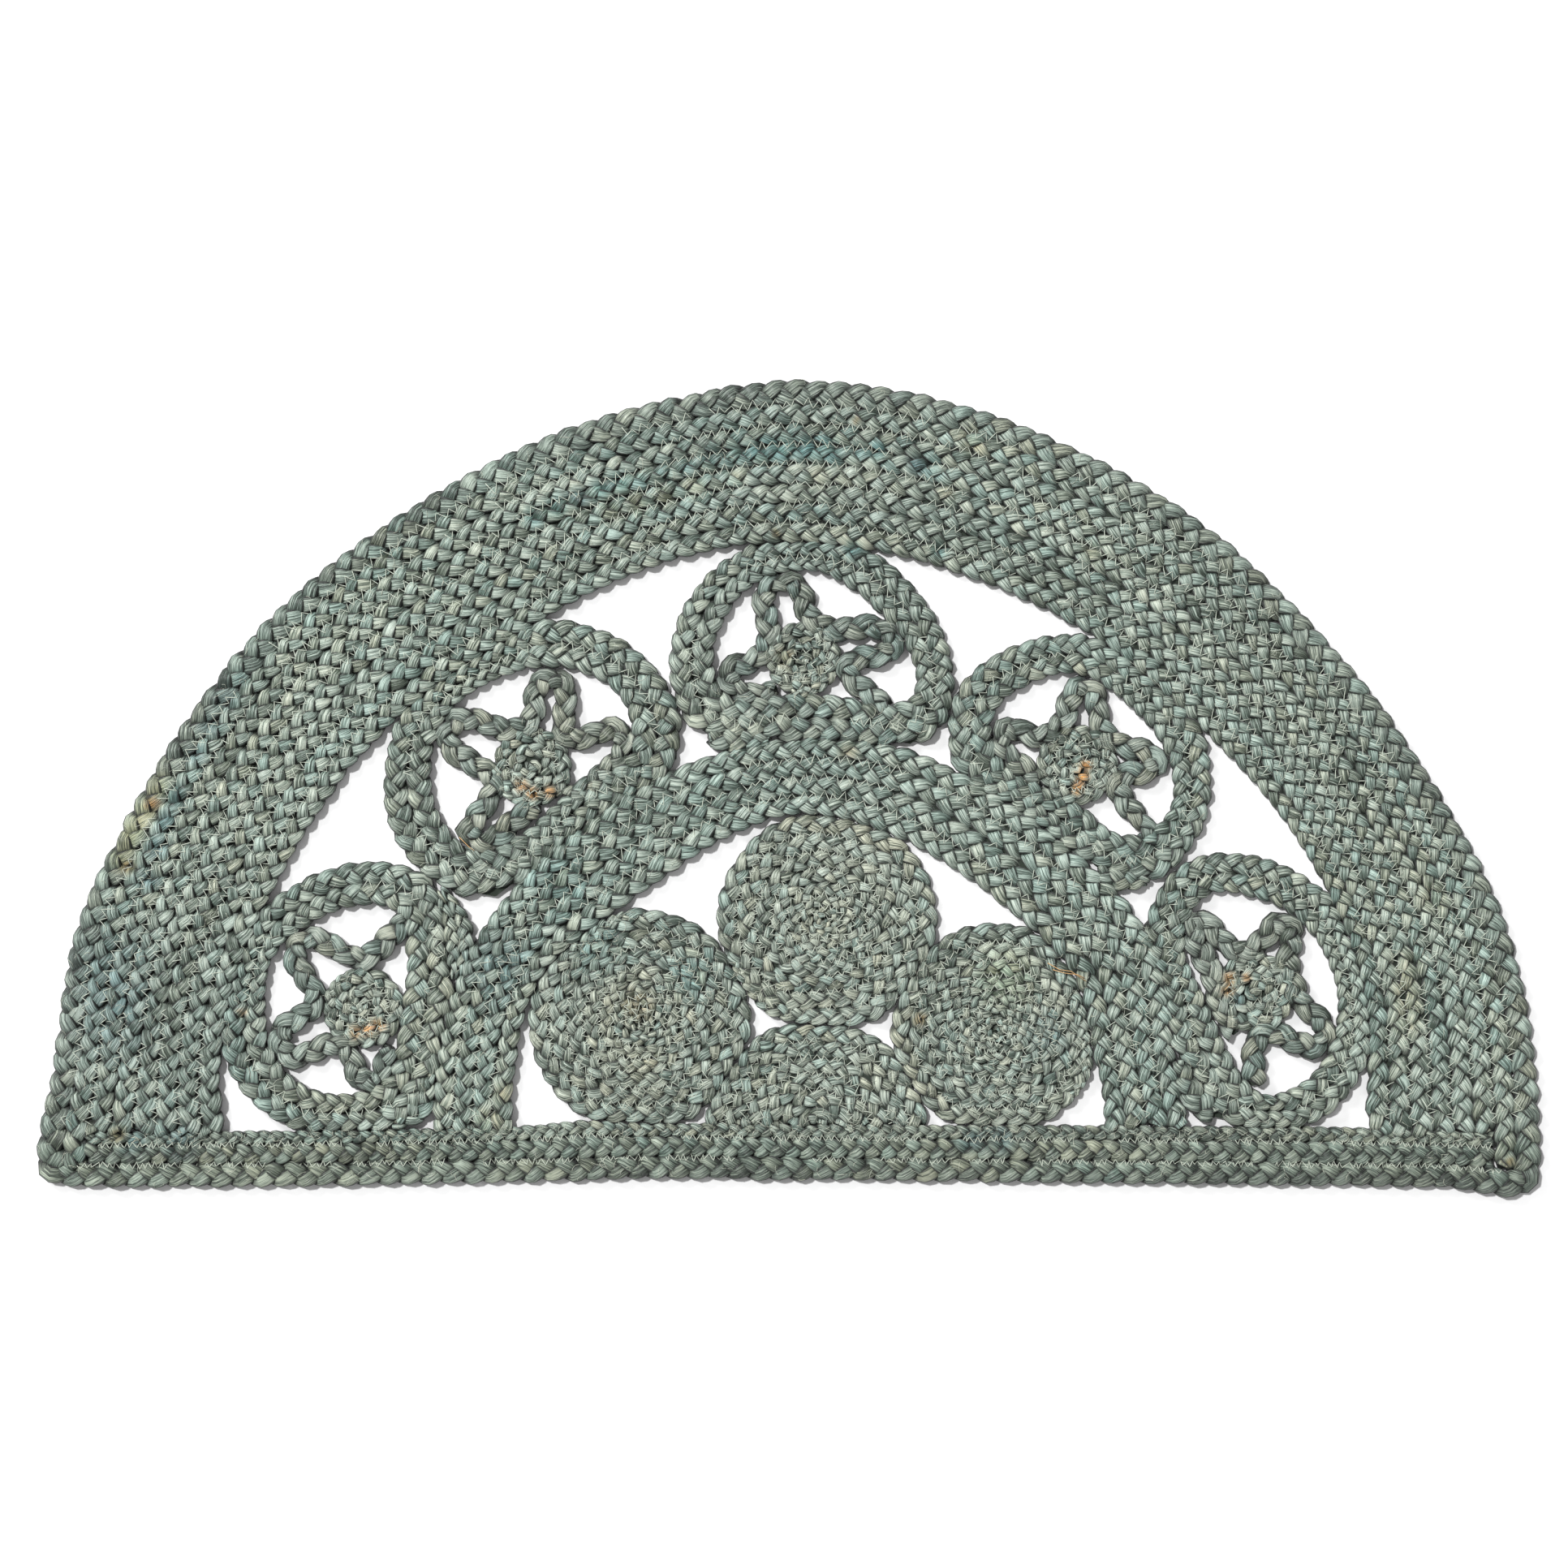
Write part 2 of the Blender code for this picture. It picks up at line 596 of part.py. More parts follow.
def build_mat():
    clear_scene()
    mat = new_collection("half_moon_doormat")
    cutters = new_collection("cutters")
    jute = {
        "arch": jute_material("jute_arch", SAGE),
        "edge": jute_material("jute_edge", DEEP_SAGE),
        "ring": jute_material("jute_ring", PALE_SAGE),
        "spoke": jute_material("jute_spoke", SAGE),
        "coil": jute_material("jute_coil", PALE_SAGE),
    }
    cutter = foot_cutter(cutters)

    loft_band("edge_braid", edge_sections(), 1, BRAID_THICKNESS, True, jute["edge"], mat)
    straight_band(jute["edge"], mat)
    rim = EDGE_ROW_WIDTH + SEAM_GAP
    outer = arch_sections(OUTER_ARCH, rim, OUTER_ARCH_STEP, LEG_DEPTH)
    cut_feet(loft_band("outer_arch", outer, OUTER_ARCH_ROWS, BRAID_THICKNESS, False,
                       jute["arch"], mat), cutter)
    inner = arch_sections(INNER_ARCH, 0, INNER_ARCH_STEP, LEG_DEPTH)
    cut_feet(loft_band("inner_arch", inner, INNER_ARCH_ROWS, BRAID_THICKNESS, False,
                       jute["arch"], mat), cutter)

    band_line = base_points("top", *band_ends(), 0)
    wheel_frame = [[edges[0] for edges in outer], [edges[1] for edges in inner], band_line]
    for index in range(len(WHEELS)):
        build_wheel(index, wheel_frame, jute, mat)

    inner_edge = [edges[0] for edges in inner]
    for index, disc in enumerate(DISCS):
        half = disc.name == "half_disc"
        walls = [inner_edge] if half else [inner_edge, band_line]
        piece = pressed_disc(index, walls, jute["coil"], mat)
        if half:
            cut_feet(piece, cutter)


build_mat()
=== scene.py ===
"""The looks of a half-moon doormat of flat jute braids, plaited, coiled and sewn side by side.

Every row of braid in the mat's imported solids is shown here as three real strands, crossing each
other over a thin packed core, with the sewing thread and the loose fibres on top. Lengths are in
metres and angles in degrees, unless a comment says otherwise.
"""

import math
from collections import namedtuple

import bpy
import numpy as np
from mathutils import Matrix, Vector
from mathutils.bvhtree import BVHTree


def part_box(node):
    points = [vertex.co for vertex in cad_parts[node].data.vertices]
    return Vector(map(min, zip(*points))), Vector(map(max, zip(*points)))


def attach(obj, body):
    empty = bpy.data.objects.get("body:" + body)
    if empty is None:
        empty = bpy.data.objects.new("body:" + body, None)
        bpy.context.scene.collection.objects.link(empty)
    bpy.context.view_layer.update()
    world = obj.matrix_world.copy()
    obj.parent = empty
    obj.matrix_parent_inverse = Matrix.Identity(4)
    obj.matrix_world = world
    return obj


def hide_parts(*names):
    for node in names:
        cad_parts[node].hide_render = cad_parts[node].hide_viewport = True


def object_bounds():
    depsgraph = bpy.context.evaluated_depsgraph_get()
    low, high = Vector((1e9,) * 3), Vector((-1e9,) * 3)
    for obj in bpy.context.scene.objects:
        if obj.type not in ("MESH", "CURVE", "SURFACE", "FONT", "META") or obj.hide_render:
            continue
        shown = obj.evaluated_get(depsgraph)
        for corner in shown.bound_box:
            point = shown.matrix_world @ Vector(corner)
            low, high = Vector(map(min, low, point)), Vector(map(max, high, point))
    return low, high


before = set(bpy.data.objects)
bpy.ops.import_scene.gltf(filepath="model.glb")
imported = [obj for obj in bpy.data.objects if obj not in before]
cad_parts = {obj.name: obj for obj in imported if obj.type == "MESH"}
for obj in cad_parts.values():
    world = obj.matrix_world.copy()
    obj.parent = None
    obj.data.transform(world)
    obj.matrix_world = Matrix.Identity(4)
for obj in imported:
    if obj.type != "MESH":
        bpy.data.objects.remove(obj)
cad_low, cad_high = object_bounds()


# Camera: it looks straight down on the mat, as in a picture taken from above. Its height is what
# the lens needs to take in the picture's width at the top of the braids.
PICTURE_WIDTH = 0.9353
PICTURE_MIDDLE = (-0.0026, 0.0026)
LENS = 85.0
SENSOR = 36.0
camera_data = bpy.data.cameras.new("camera")
camera_data.lens = LENS
camera_data.sensor_width = SENSOR
camera = bpy.data.objects.new("camera", camera_data)
camera.location = (*PICTURE_MIDDLE, PICTURE_WIDTH * LENS / SENSOR + cad_high.z)
bpy.context.scene.collection.objects.link(camera)
bpy.context.scene.camera = camera


# Outer arch: seven rows of braid side by side, bent round inside the edge braid. Each row is a
# flat plait of three soft jute strands. Its legs stand on the straight band, and only the
# outermost row runs on down to the edge braid.
ARCH_CENTRE = np.array((0.0066, -0.2051))
ARCH_STEP = 2.0
OUTER_ARCH_ROWS = 7
OUTER_BULGE = 0.0003
OUTER_FEET = (0.0045,) * 6 + (0.0255,)
# The arch is measured just short of its two ends, at this height above the floor.
OUTER_ENDS = (0.4, 179.6)
WALL_HEIGHT = 0.0036
PAST_WALL = 0.0002

Line = namedtuple("Line", "points widths closed")
wall_trees = {}


def level_walls(node, start, towards):
    """Distances from a point to the walls that a level ray meets in one CAD node."""
    if node not in wall_trees:
        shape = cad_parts[node].data
        corners = [v.co.copy() for v in shape.vertices]
        faces = [list(p.vertices) for p in shape.polygons]
        wall_trees[node] = BVHTree.FromPolygons(corners, faces)
    direction = Vector((towards[0], towards[1], 0)).normalized()
    place = Vector((start[0], start[1], WALL_HEIGHT))
    gone = 0.0
    walls = []
    while True:
        hit, normal, index, reach = wall_trees[node].ray_cast(place, direction)
        if hit is None:
            return walls
        gone += reach
        walls.append(gone)
        place = hit + direction * PAST_WALL
        gone += PAST_WALL


def turned(degrees):
    """The level direction at an angle, counted from the mat's right."""
    return np.array((math.cos(math.radians(degrees)), math.sin(math.radians(degrees))))


def edges_seen(node, views):
    """The near and the far edge of a band, as seen from places beside it."""
    edges = []
    for place, direction in views:
        walls = level_walls(node, place, direction)
        edges.append((place + direction * walls[0], place + direction * walls[1]))
    return np.array(edges)


def edges_round(node, centre, angles):
    """The inner and the outer edge of a round band, as seen from its centre."""
    return edges_seen(node, [(centre, turned(angle)) for angle in angles])


def unit(vectors, least=0.0):
    """Each vector at length 1."""
    return vectors / (np.linalg.norm(vectors, axis=1)[:, None] + least)


def drawn_in(edges, inside, outside):
    """The edges of a band drawn in a little, or pushed out where the amount is below 0."""
    inner, outer = edges[:, 0], edges[:, 1]
    across = unit(outer - inner)
    return np.stack([inner + across * inside, outer - across * outside], axis=1)


def rows_between(edges, count, closed=False):
    """Middle lines of rows side by side between two edges, from the inner edge outwards."""
    inner, outer = edges[:, 0], edges[:, 1]
    width = np.linalg.norm(outer - inner, axis=1) / count
    shares = [row + 0.5 for row in range(count)]
    return [Line(inner + (outer - inner) * share / count, width, closed) for share in shares]


def seams_between(edges, count, closed=False):
    """Lines along which rows side by side meet."""
    inner, outer = edges[:, 0], edges[:, 1]
    width = np.linalg.norm(outer - inner, axis=1) / count
    return [Line(inner + (outer - inner) * row / count, width, closed) for row in range(1, count)]


def walked(points):
    """Distances along a path of points."""
    return np.append(0, np.cumsum(np.linalg.norm(np.diff(points, axis=0), axis=1)))


FINE_STEP = 0.002
LEAST_STEPS = 8
SMOOTHINGS = 5
Run = namedtuple("Run", "lengths places ahead widths")


def along(line):
    """A line as even fine steps: the distance, place, direction and width at each."""
    points, widths = line.points, line.widths
    if line.closed:
        points = np.vstack([points, points[:1]])
        widths = np.append(widths, widths[0])
    lengths = walked(points)
    count = max(LEAST_STEPS, int(lengths[-1] / FINE_STEP))
    fine = np.linspace(0, lengths[-1], count + 1)
    places = np.stack([np.interp(fine, lengths, points[:, k]) for k in (0, 1)], axis=1)
    for smoothing in range(SMOOTHINGS):
        if line.closed:
            ring = places[:-1]
            ring = (np.roll(ring, 1, axis=0) + 2 * ring + np.roll(ring, -1, axis=0)) / 4
            places = np.vstack([ring, ring[:1]])
        else:
            places[1:-1] = (places[:-2] + 2 * places[1:-1] + places[2:]) / 4
    ahead = np.gradient(places, axis=0)
    if line.closed:
        ahead[0] = ahead[-1] = places[1] - places[-2]
    return Run(walked(places), places, unit(ahead), np.interp(fine, lengths, widths))


def placed(run, distances):
    """The place, direction and width of a line at distances along it."""
    x, y = (np.interp(distances, run.lengths, run.places[:, k]) for k in (0, 1))
    tx, ty = (np.interp(distances, run.lengths, run.ahead[:, k]) for k in (0, 1))
    return x, y, tx, ty, np.interp(distances, run.lengths, run.widths)


def eased(share):
    """A share from 0 to 1 with a soft start and a soft end."""
    return share * share * (3 - 2 * share)


LEAST_KNOTS = 4
Stray = namedtuple("Stray", "every by")


def wander(distances, whole, stray, rng, closed, rough=1.0):
    """A smooth random offset along a row, the same at both ends of a closed one."""
    count = max(LEAST_KNOTS, int(whole / stray.every))
    knots = rng.normal(0, stray.by * rough, count + 1)
    if closed:
        knots[-1] = knots[0]
    t = np.clip(distances / whole, 0, 1) * count
    low = np.minimum(t.astype(int), count - 1)
    share = eased(t - low)
    return knots[low] * (1 - share) + knots[low + 1] * share


def skin(base, count, sides, closed, order=(0, 1, 2, 3)):
    """The point numbers of rings one after another, and the four-sided faces between them."""
    index = base + np.arange(count * sides).reshape(count, sides)
    here = index if closed else index[:-1]
    after = np.roll(index, -1, axis=0) if closed else index[1:]
    corners = (here, after, np.roll(after, -1, axis=1), np.roll(here, -1, axis=1))
    return index, np.stack([corners[k] for k in order], axis=2).reshape(-1, 4)


# One flat plait. A full weave of a strand, its swing to each side and its own width are shares of
# the row's width. The swing is squared off a little, and the rise lags behind it.
PLAIT_MIDDLE = 0.0045
PERIOD_SHARE = 2.82
SWING_SHARE = 0.295
SWING_SQUARE = 0.10
STRAND_SHARE = 0.60
STRAND_THICKNESS = 0.0032
STRAND_LIFT = 0.0026
LIFT_DELAY = math.radians(16)
LIFT_SLOPE = 0.8
LEAST_ROW = 0.0105
MOST_ROW = 0.0135
FLOOR_REST = 0.0001
# One strand from the middle of the plait over to its edge and back under: phase in degrees,
# then shares of the strand's width and thickness, and its roll over the edge in degrees.
Turn = namedtuple("Turn", "phase wide thick roll")
TURNS = (
    Turn(-14, 0.92, 0.74, 0),
    Turn(4, 1.08, 1.00, 0),
    Turn(26, 1.16, 1.16, 3),
    Turn(48, 1.09, 1.20, 6),
    Turn(72, 0.94, 1.10, 9),
    Turn(98, 0.78, 0.94, 14),
    Turn(130, 0.82, 0.80, -12),
)
PETAL_SAMPLES = np.array([turn.phase for turn in TURNS], float)
# A strand's section is a flattened round. Its flanks, and the parts that tuck under the others,
# get painted shade: their colour is darkened from the share and over the range given here.
SECTION = np.radians((0, 28, 50, 90, 130, 152, 180, 270))
SECTION_WIDE = np.sign(np.cos(SECTION)) * np.abs(np.cos(SECTION)) ** 0.80
SECTION_THICK = np.sign(np.sin(SECTION)) * np.abs(np.sin(SECTION)) ** 0.70
SHADE_BY_SECTION = np.array((1.0, 0.90, 0.55, 0.0, 0.55, 0.90, 1.0, 1.2))
SHADE_FLANK_FROM, SHADE_FLANK_OVER = 0.46, 0.40
SHADE_UNDER_FROM, SHADE_UNDER_OVER, SHADE_UNDER_MOST = 0.16, 0.50, 0.97
# How the strands stray from an even plait: over what length along the row, and by how much.
STRAY_PHASE = Stray(0.016, 7.0)
STRAY_WIDTH = Stray(0.012, 0.055)
STRAY_SIDE = Stray(0.010, 0.00025)
STRAY_HEIGHT = Stray(0.010, 0.00022)
STRAY_ROLL = Stray(0.012, 0.10)
STRAY_TONE = Stray(0.070, 0.9)
STRAY_HUE = Stray(0.080, 0.85)
# Each petal, the part of a strand that shows on one side, has a tone and a hue of its own. The
# fibre pattern starts somewhere else on every strand, and wraps a little over its thickness.
PETAL_START = 40
PETAL_TONE = 0.9
PETAL_HUE = 0.25
PATTERN_ROOM = 50
PATTERN_WRAP = 0.3

Strands = namedtuple("Strands", "points quads ends fibre tones hues shades")


def plait(lines, rng, period=PERIOD_SHARE, least=LEAST_ROW, height=1.0, rough=1.0):
    """Three strands along every line: points, faces, and the fibre's place, tone, hue and painted
    shade.
    """
    points, quads, ends, fibre, tones, hues, shades = [], [], [], [], [], [], []
    base = 0
    flank_shade = np.clip((SHADE_BY_SECTION - SHADE_FLANK_FROM) / SHADE_FLANK_OVER, 0, 1)
    for line in lines:
        run = along(line)
        closed = line.closed
        whole = run.lengths[-1]
        tempo = 1 / (period * np.clip(run.widths, least, MOST_ROW))
        cycles = np.append(0, np.cumsum((tempo[1:] + tempo[:-1]) / 2 * np.diff(run.lengths)))
        if closed:
            cycles *= max(1, round(cycles[-1])) / cycles[-1]
        turns = cycles[-1]
        start = rng.uniform(0, 360)
        for strand in range(3):
            offset = start + 120 * strand
            # More half turns than the row holds, of which only those inside it are kept.
            halves = np.arange(-2, int(2 * turns) + 4)
            phases = (halves[:, None] * 180 + PETAL_SAMPLES[None, :]).ravel()
            shapes = np.tile(np.array(TURNS)[:, 1:], (len(halves), 1))
            if closed:
                inside = (phases >= 0) & (phases < 360 * turns - 0.01)
                beats = (phases + offset) / 360 % turns
            else:
                beats = (phases - offset) / 360
                inside = (beats >= 0) & (beats <= turns)
            phases, beats, shapes = phases[inside], beats[inside], shapes[inside]
            distances = np.interp(beats, cycles, run.lengths)
            if len(distances) < 3:
                continue
            shift = wander(distances, whole, STRAY_PHASE, rng, closed, rough)
            turn = np.radians(phases + shift)
            x, y, tx, ty, row = placed(run, distances)
            slim = STRAND_SHARE * (1 + wander(distances, whole, STRAY_WIDTH, rng, closed, rough))
            swing = SWING_SHARE * row
            side = np.sin(turn) - SWING_SQUARE * np.sin(3 * turn)
            lift = np.sin(2 * turn - LIFT_DELAY)
            u = swing * side + wander(distances, whole, STRAY_SIDE, rng, closed, rough)
            v = height * STRAND_LIFT * lift
            v += wander(distances, whole, STRAY_HEIGHT, rng, closed, rough)
            centre = np.stack([x - ty * u, y + tx * u, height * PLAIT_MIDDLE + v], axis=1)
            # The strand's own direction, from how fast it swings and rises along the row.
            per_metre = 2 * math.pi / (period * np.clip(row, least, MOST_ROW))
            du = swing * (np.cos(turn) - 3 * SWING_SQUARE * np.cos(3 * turn)) * per_metre
            dv = height * STRAND_LIFT * 2 * np.cos(2 * turn - LIFT_DELAY) * per_metre
            heading = unit(np.stack([tx - ty * du, ty + tx * du, dv * LIFT_SLOPE], axis=1))
            level = np.zeros(len(heading))
            across = unit(np.stack([-heading[:, 1], heading[:, 0], level], axis=1))
            up = np.cross(heading, across)
            roll = np.radians(shapes[:, 2]) * np.sign(np.sin(turn))
            roll += wander(distances, whole, STRAY_ROLL, rng, closed, rough)
            c, s = np.cos(roll)[:, None], np.sin(roll)[:, None]
            across, up = across * c - up * s, up * c + across * s
            half_wide = (row * slim / 2 * shapes[:, 0])[:, None]
            half_thick = (height * STRAND_THICKNESS / 2 * shapes[:, 1])[:, None]
            rings = (centre[:, None, :] + across[:, None, :] * (half_wide * SECTION_WIDE)[:, :, None]
                     + up[:, None, :] * (half_thick * SECTION_THICK)[:, :, None])
            rings[:, :, 2] = np.maximum(rings[:, :, 2], FLOOR_REST)
            count, sides = rings.shape[:2]
            index, faces = skin(base, count, sides, closed)
            points.append(rings.reshape(-1, 3))
            quads.append(faces)
            if not closed:
                ends += [index[0], index[-1][::-1]]
            base += count * sides
            place = np.zeros((count, sides, 3))
            place[:, :, 0] = walked(centre)[:, None]
            place[:, :, 1] = half_wide * SECTION_WIDE + PATTERN_WRAP * half_thick * SECTION_THICK
            place[:, :, 2] = rng.uniform(0, PATTERN_ROOM)
            fibre.append(place.reshape(-1, 3))
            petal = np.floor((phases + PETAL_START) / 180).astype(int)
            petal -= petal.min()
            tone = rng.normal(0, PETAL_TONE, petal.max() + 1)[petal]
            tone += wander(distances, whole, STRAY_TONE, rng, closed)
            tones.append(np.repeat(tone, sides))
            hue = rng.normal(0, PETAL_HUE, petal.max() + 1)[petal]
            hue += wander(distances, whole, STRAY_HUE, rng, closed)
            hues.append(np.repeat(hue, sides))
            # Painted shade: darker colour where the strand dives under the others, and on its flanks.
            under = np.clip((SHADE_UNDER_FROM - lift) / SHADE_UNDER_OVER, 0, 1) * SHADE_UNDER_MOST
            shade_amount = 1 - (1 - under[:, None]) * (1 - flank_shade[None, :])
            shades.append(shade_amount.ravel())
    return Strands(np.concatenate(points), np.concatenate(quads), ends, np.concatenate(fibre),
                   np.concatenate(tones), np.concatenate(hues), np.concatenate(shades))


def mesh_piece(name, points, quads, ends, material):
    """A mesh piece made in one go from arrays, with its end caps."""
    mesh = bpy.data.meshes.new(name)
    loops = np.concatenate([quads.ravel()] + ends).astype(np.int32)
    totals = np.concatenate([np.full(len(quads), 4), [len(end) for end in ends]]).astype(np.int32)
    starts = np.append(0, np.cumsum(totals)[:-1]).astype(np.int32)
    mesh.vertices.add(len(points))
    mesh.vertices.foreach_set("co", points.astype(np.float32).ravel())
    mesh.loops.add(len(loops))
    mesh.loops.foreach_set("vertex_index", loops)
    mesh.polygons.add(len(totals))
    mesh.polygons.foreach_set("loop_start", starts)
    mesh.polygons.foreach_set("loop_total", totals)
    mesh.polygons.foreach_set("use_smooth", np.ones(len(totals), bool))
    mesh.update(calc_edges=True)
    mesh.materials.append(material)
    piece = bpy.data.objects.new(name, mesh)
    bpy.context.scene.collection.objects.link(piece)
    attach(piece, "root")
    return piece


def linear(colour):
    """An sRGB hex colour as linear values."""
    parts = [int(colour[k:k + 2], 16) / 255 for k in (1, 3, 5)]
    return np.array([p / 12.92 if p <= 0.04045 else ((p + 0.055) / 1.055) ** 2.4 for p in parts])


def new_material(name, sockets):
    """A new material, with values set on its shader's own sockets."""
    material = bpy.data.materials.new(name)
    material.use_nodes = True
    shader = material.node_tree.nodes["Principled BSDF"]
    for socket, value in sockets.items():
        shader.inputs[socket].default_value = value
    return material, shader


def add_node(material, kind, links=None, **settings):
    """Adds one node, sets its own settings and inputs, and links its inputs."""
    tree = material.node_tree
    node = tree.nodes.new(kind)
    for name, value in settings.items():
        if hasattr(node, name):
            setattr(node, name, value)
        else:
            node.inputs[name.replace("_", " ")].default_value = value
    for name, source in (links or {}).items():
        tree.links.new(source, node.inputs[name])
    return node


# The fibre pattern has so many patches to the metre, along and across the strand. Bundles of fibre
# are about 20 mm long and 1 mm wide. Single fibres are too fine to show, so they are drawn coarser
# than real ones, 13 to 100 mm of length and 14 to 5 mm of width.
BUNDLES = (1000 / 20, 1000 / 1, 1.0)
SINGLES = (1000 * 13 / 100, 1000 * 14 / 5, 1.0)
FIBRE_RELIEF = 0.0013
TONE_STEP = 0.020
DARK_AT, MIDDLE_AT, PALE_AT = 0.42, 0.50, 0.59
# The near-black colour that the painted shade on the strands' flanks and tucked ends goes to.
PAINTED_CREASE_SHADE = "#0E130F"


def dyed_jute(name, dark, middle, pale):
    """Dyed jute, spun loosely and plaited: long bast fibres packed side by side.

    To the eye that is fine pale and dark streaks along each strand, with a dull satin gloss.
    Painted shade darkens the flanks and the tucked ends of the strands.
    """
    material, shader = new_material(name, {
        "Roughness": 0.40, "IOR": 1.45, "Specular IOR Level": 0.58,
        "Sheen Weight": 0.12, "Sheen Roughness": 0.5})
    tree = material.node_tree
    fibre = add_node(material, "ShaderNodeAttribute", attribute_name="fibre")
    tone = add_node(material, "ShaderNodeAttribute", attribute_name="tone")
    # The dye attribute includes the painted highlight at the upper left.
    dye = add_node(material, "ShaderNodeAttribute", attribute_name="dye")
    streaks = []
    for patches in (BUNDLES, SINGLES):
        place = add_node(material, "ShaderNodeVectorMath", {0: fibre.outputs["Vector"]},
                         operation="MULTIPLY")
        place.inputs[1].default_value = patches
        streaks.append(add_node(material, "ShaderNodeTexNoise", {"Vector": place.outputs[0]},
                                Scale=1.0, Detail=2.0, Roughness=0.6))
    both = add_node(material, "ShaderNodeMix",
                    {2: streaks[0].outputs["Fac"], 3: streaks[1].outputs["Fac"]},
                    data_type="FLOAT", Factor=0.5)
    lighter = add_node(material, "ShaderNodeMath",
                       {0: tone.outputs["Fac"], 2: both.outputs[0]}, operation="MULTIPLY_ADD")
    lighter.inputs[1].default_value = TONE_STEP
    ramp = add_node(material, "ShaderNodeValToRGB", {"Fac": lighter.outputs[0]})
    ramp.color_ramp.elements[0].position = DARK_AT
    ramp.color_ramp.elements[0].color = (*linear(dark), 1)
    ramp.color_ramp.elements[1].position = PALE_AT
    ramp.color_ramp.elements[1].color = (*linear(pale), 1)
    halfway = ramp.color_ramp.elements.new(MIDDLE_AT)
    halfway.color = (*linear(middle), 1)
    dyed = add_node(material, "ShaderNodeMix", {6: ramp.outputs["Color"], 7: dye.outputs["Color"]},
                    data_type="RGBA", blend_type="MULTIPLY", Factor=1.0)
    # Painted shade: the colour goes towards near black on the flanks and the tucked ends of each
    # strand, where little light reaches.
    painted_shade = add_node(material, "ShaderNodeAttribute", attribute_name="painted_shade")
    crease_shade_mix = add_node(material, "ShaderNodeMix", {0: painted_shade.outputs["Fac"], 6: dyed.outputs[2]},
                      data_type="RGBA")
    crease_shade_mix.inputs[7].default_value = (*linear(PAINTED_CREASE_SHADE), 1)
    tree.links.new(crease_shade_mix.outputs[2], shader.inputs["Base Color"])
    relief = add_node(material, "ShaderNodeBump", {"Height": both.outputs[0]},
                      Strength=1.0, Distance=FIBRE_RELIEF)
    tree.links.new(relief.outputs["Normal"], shader.inputs["Normal"])
    return material
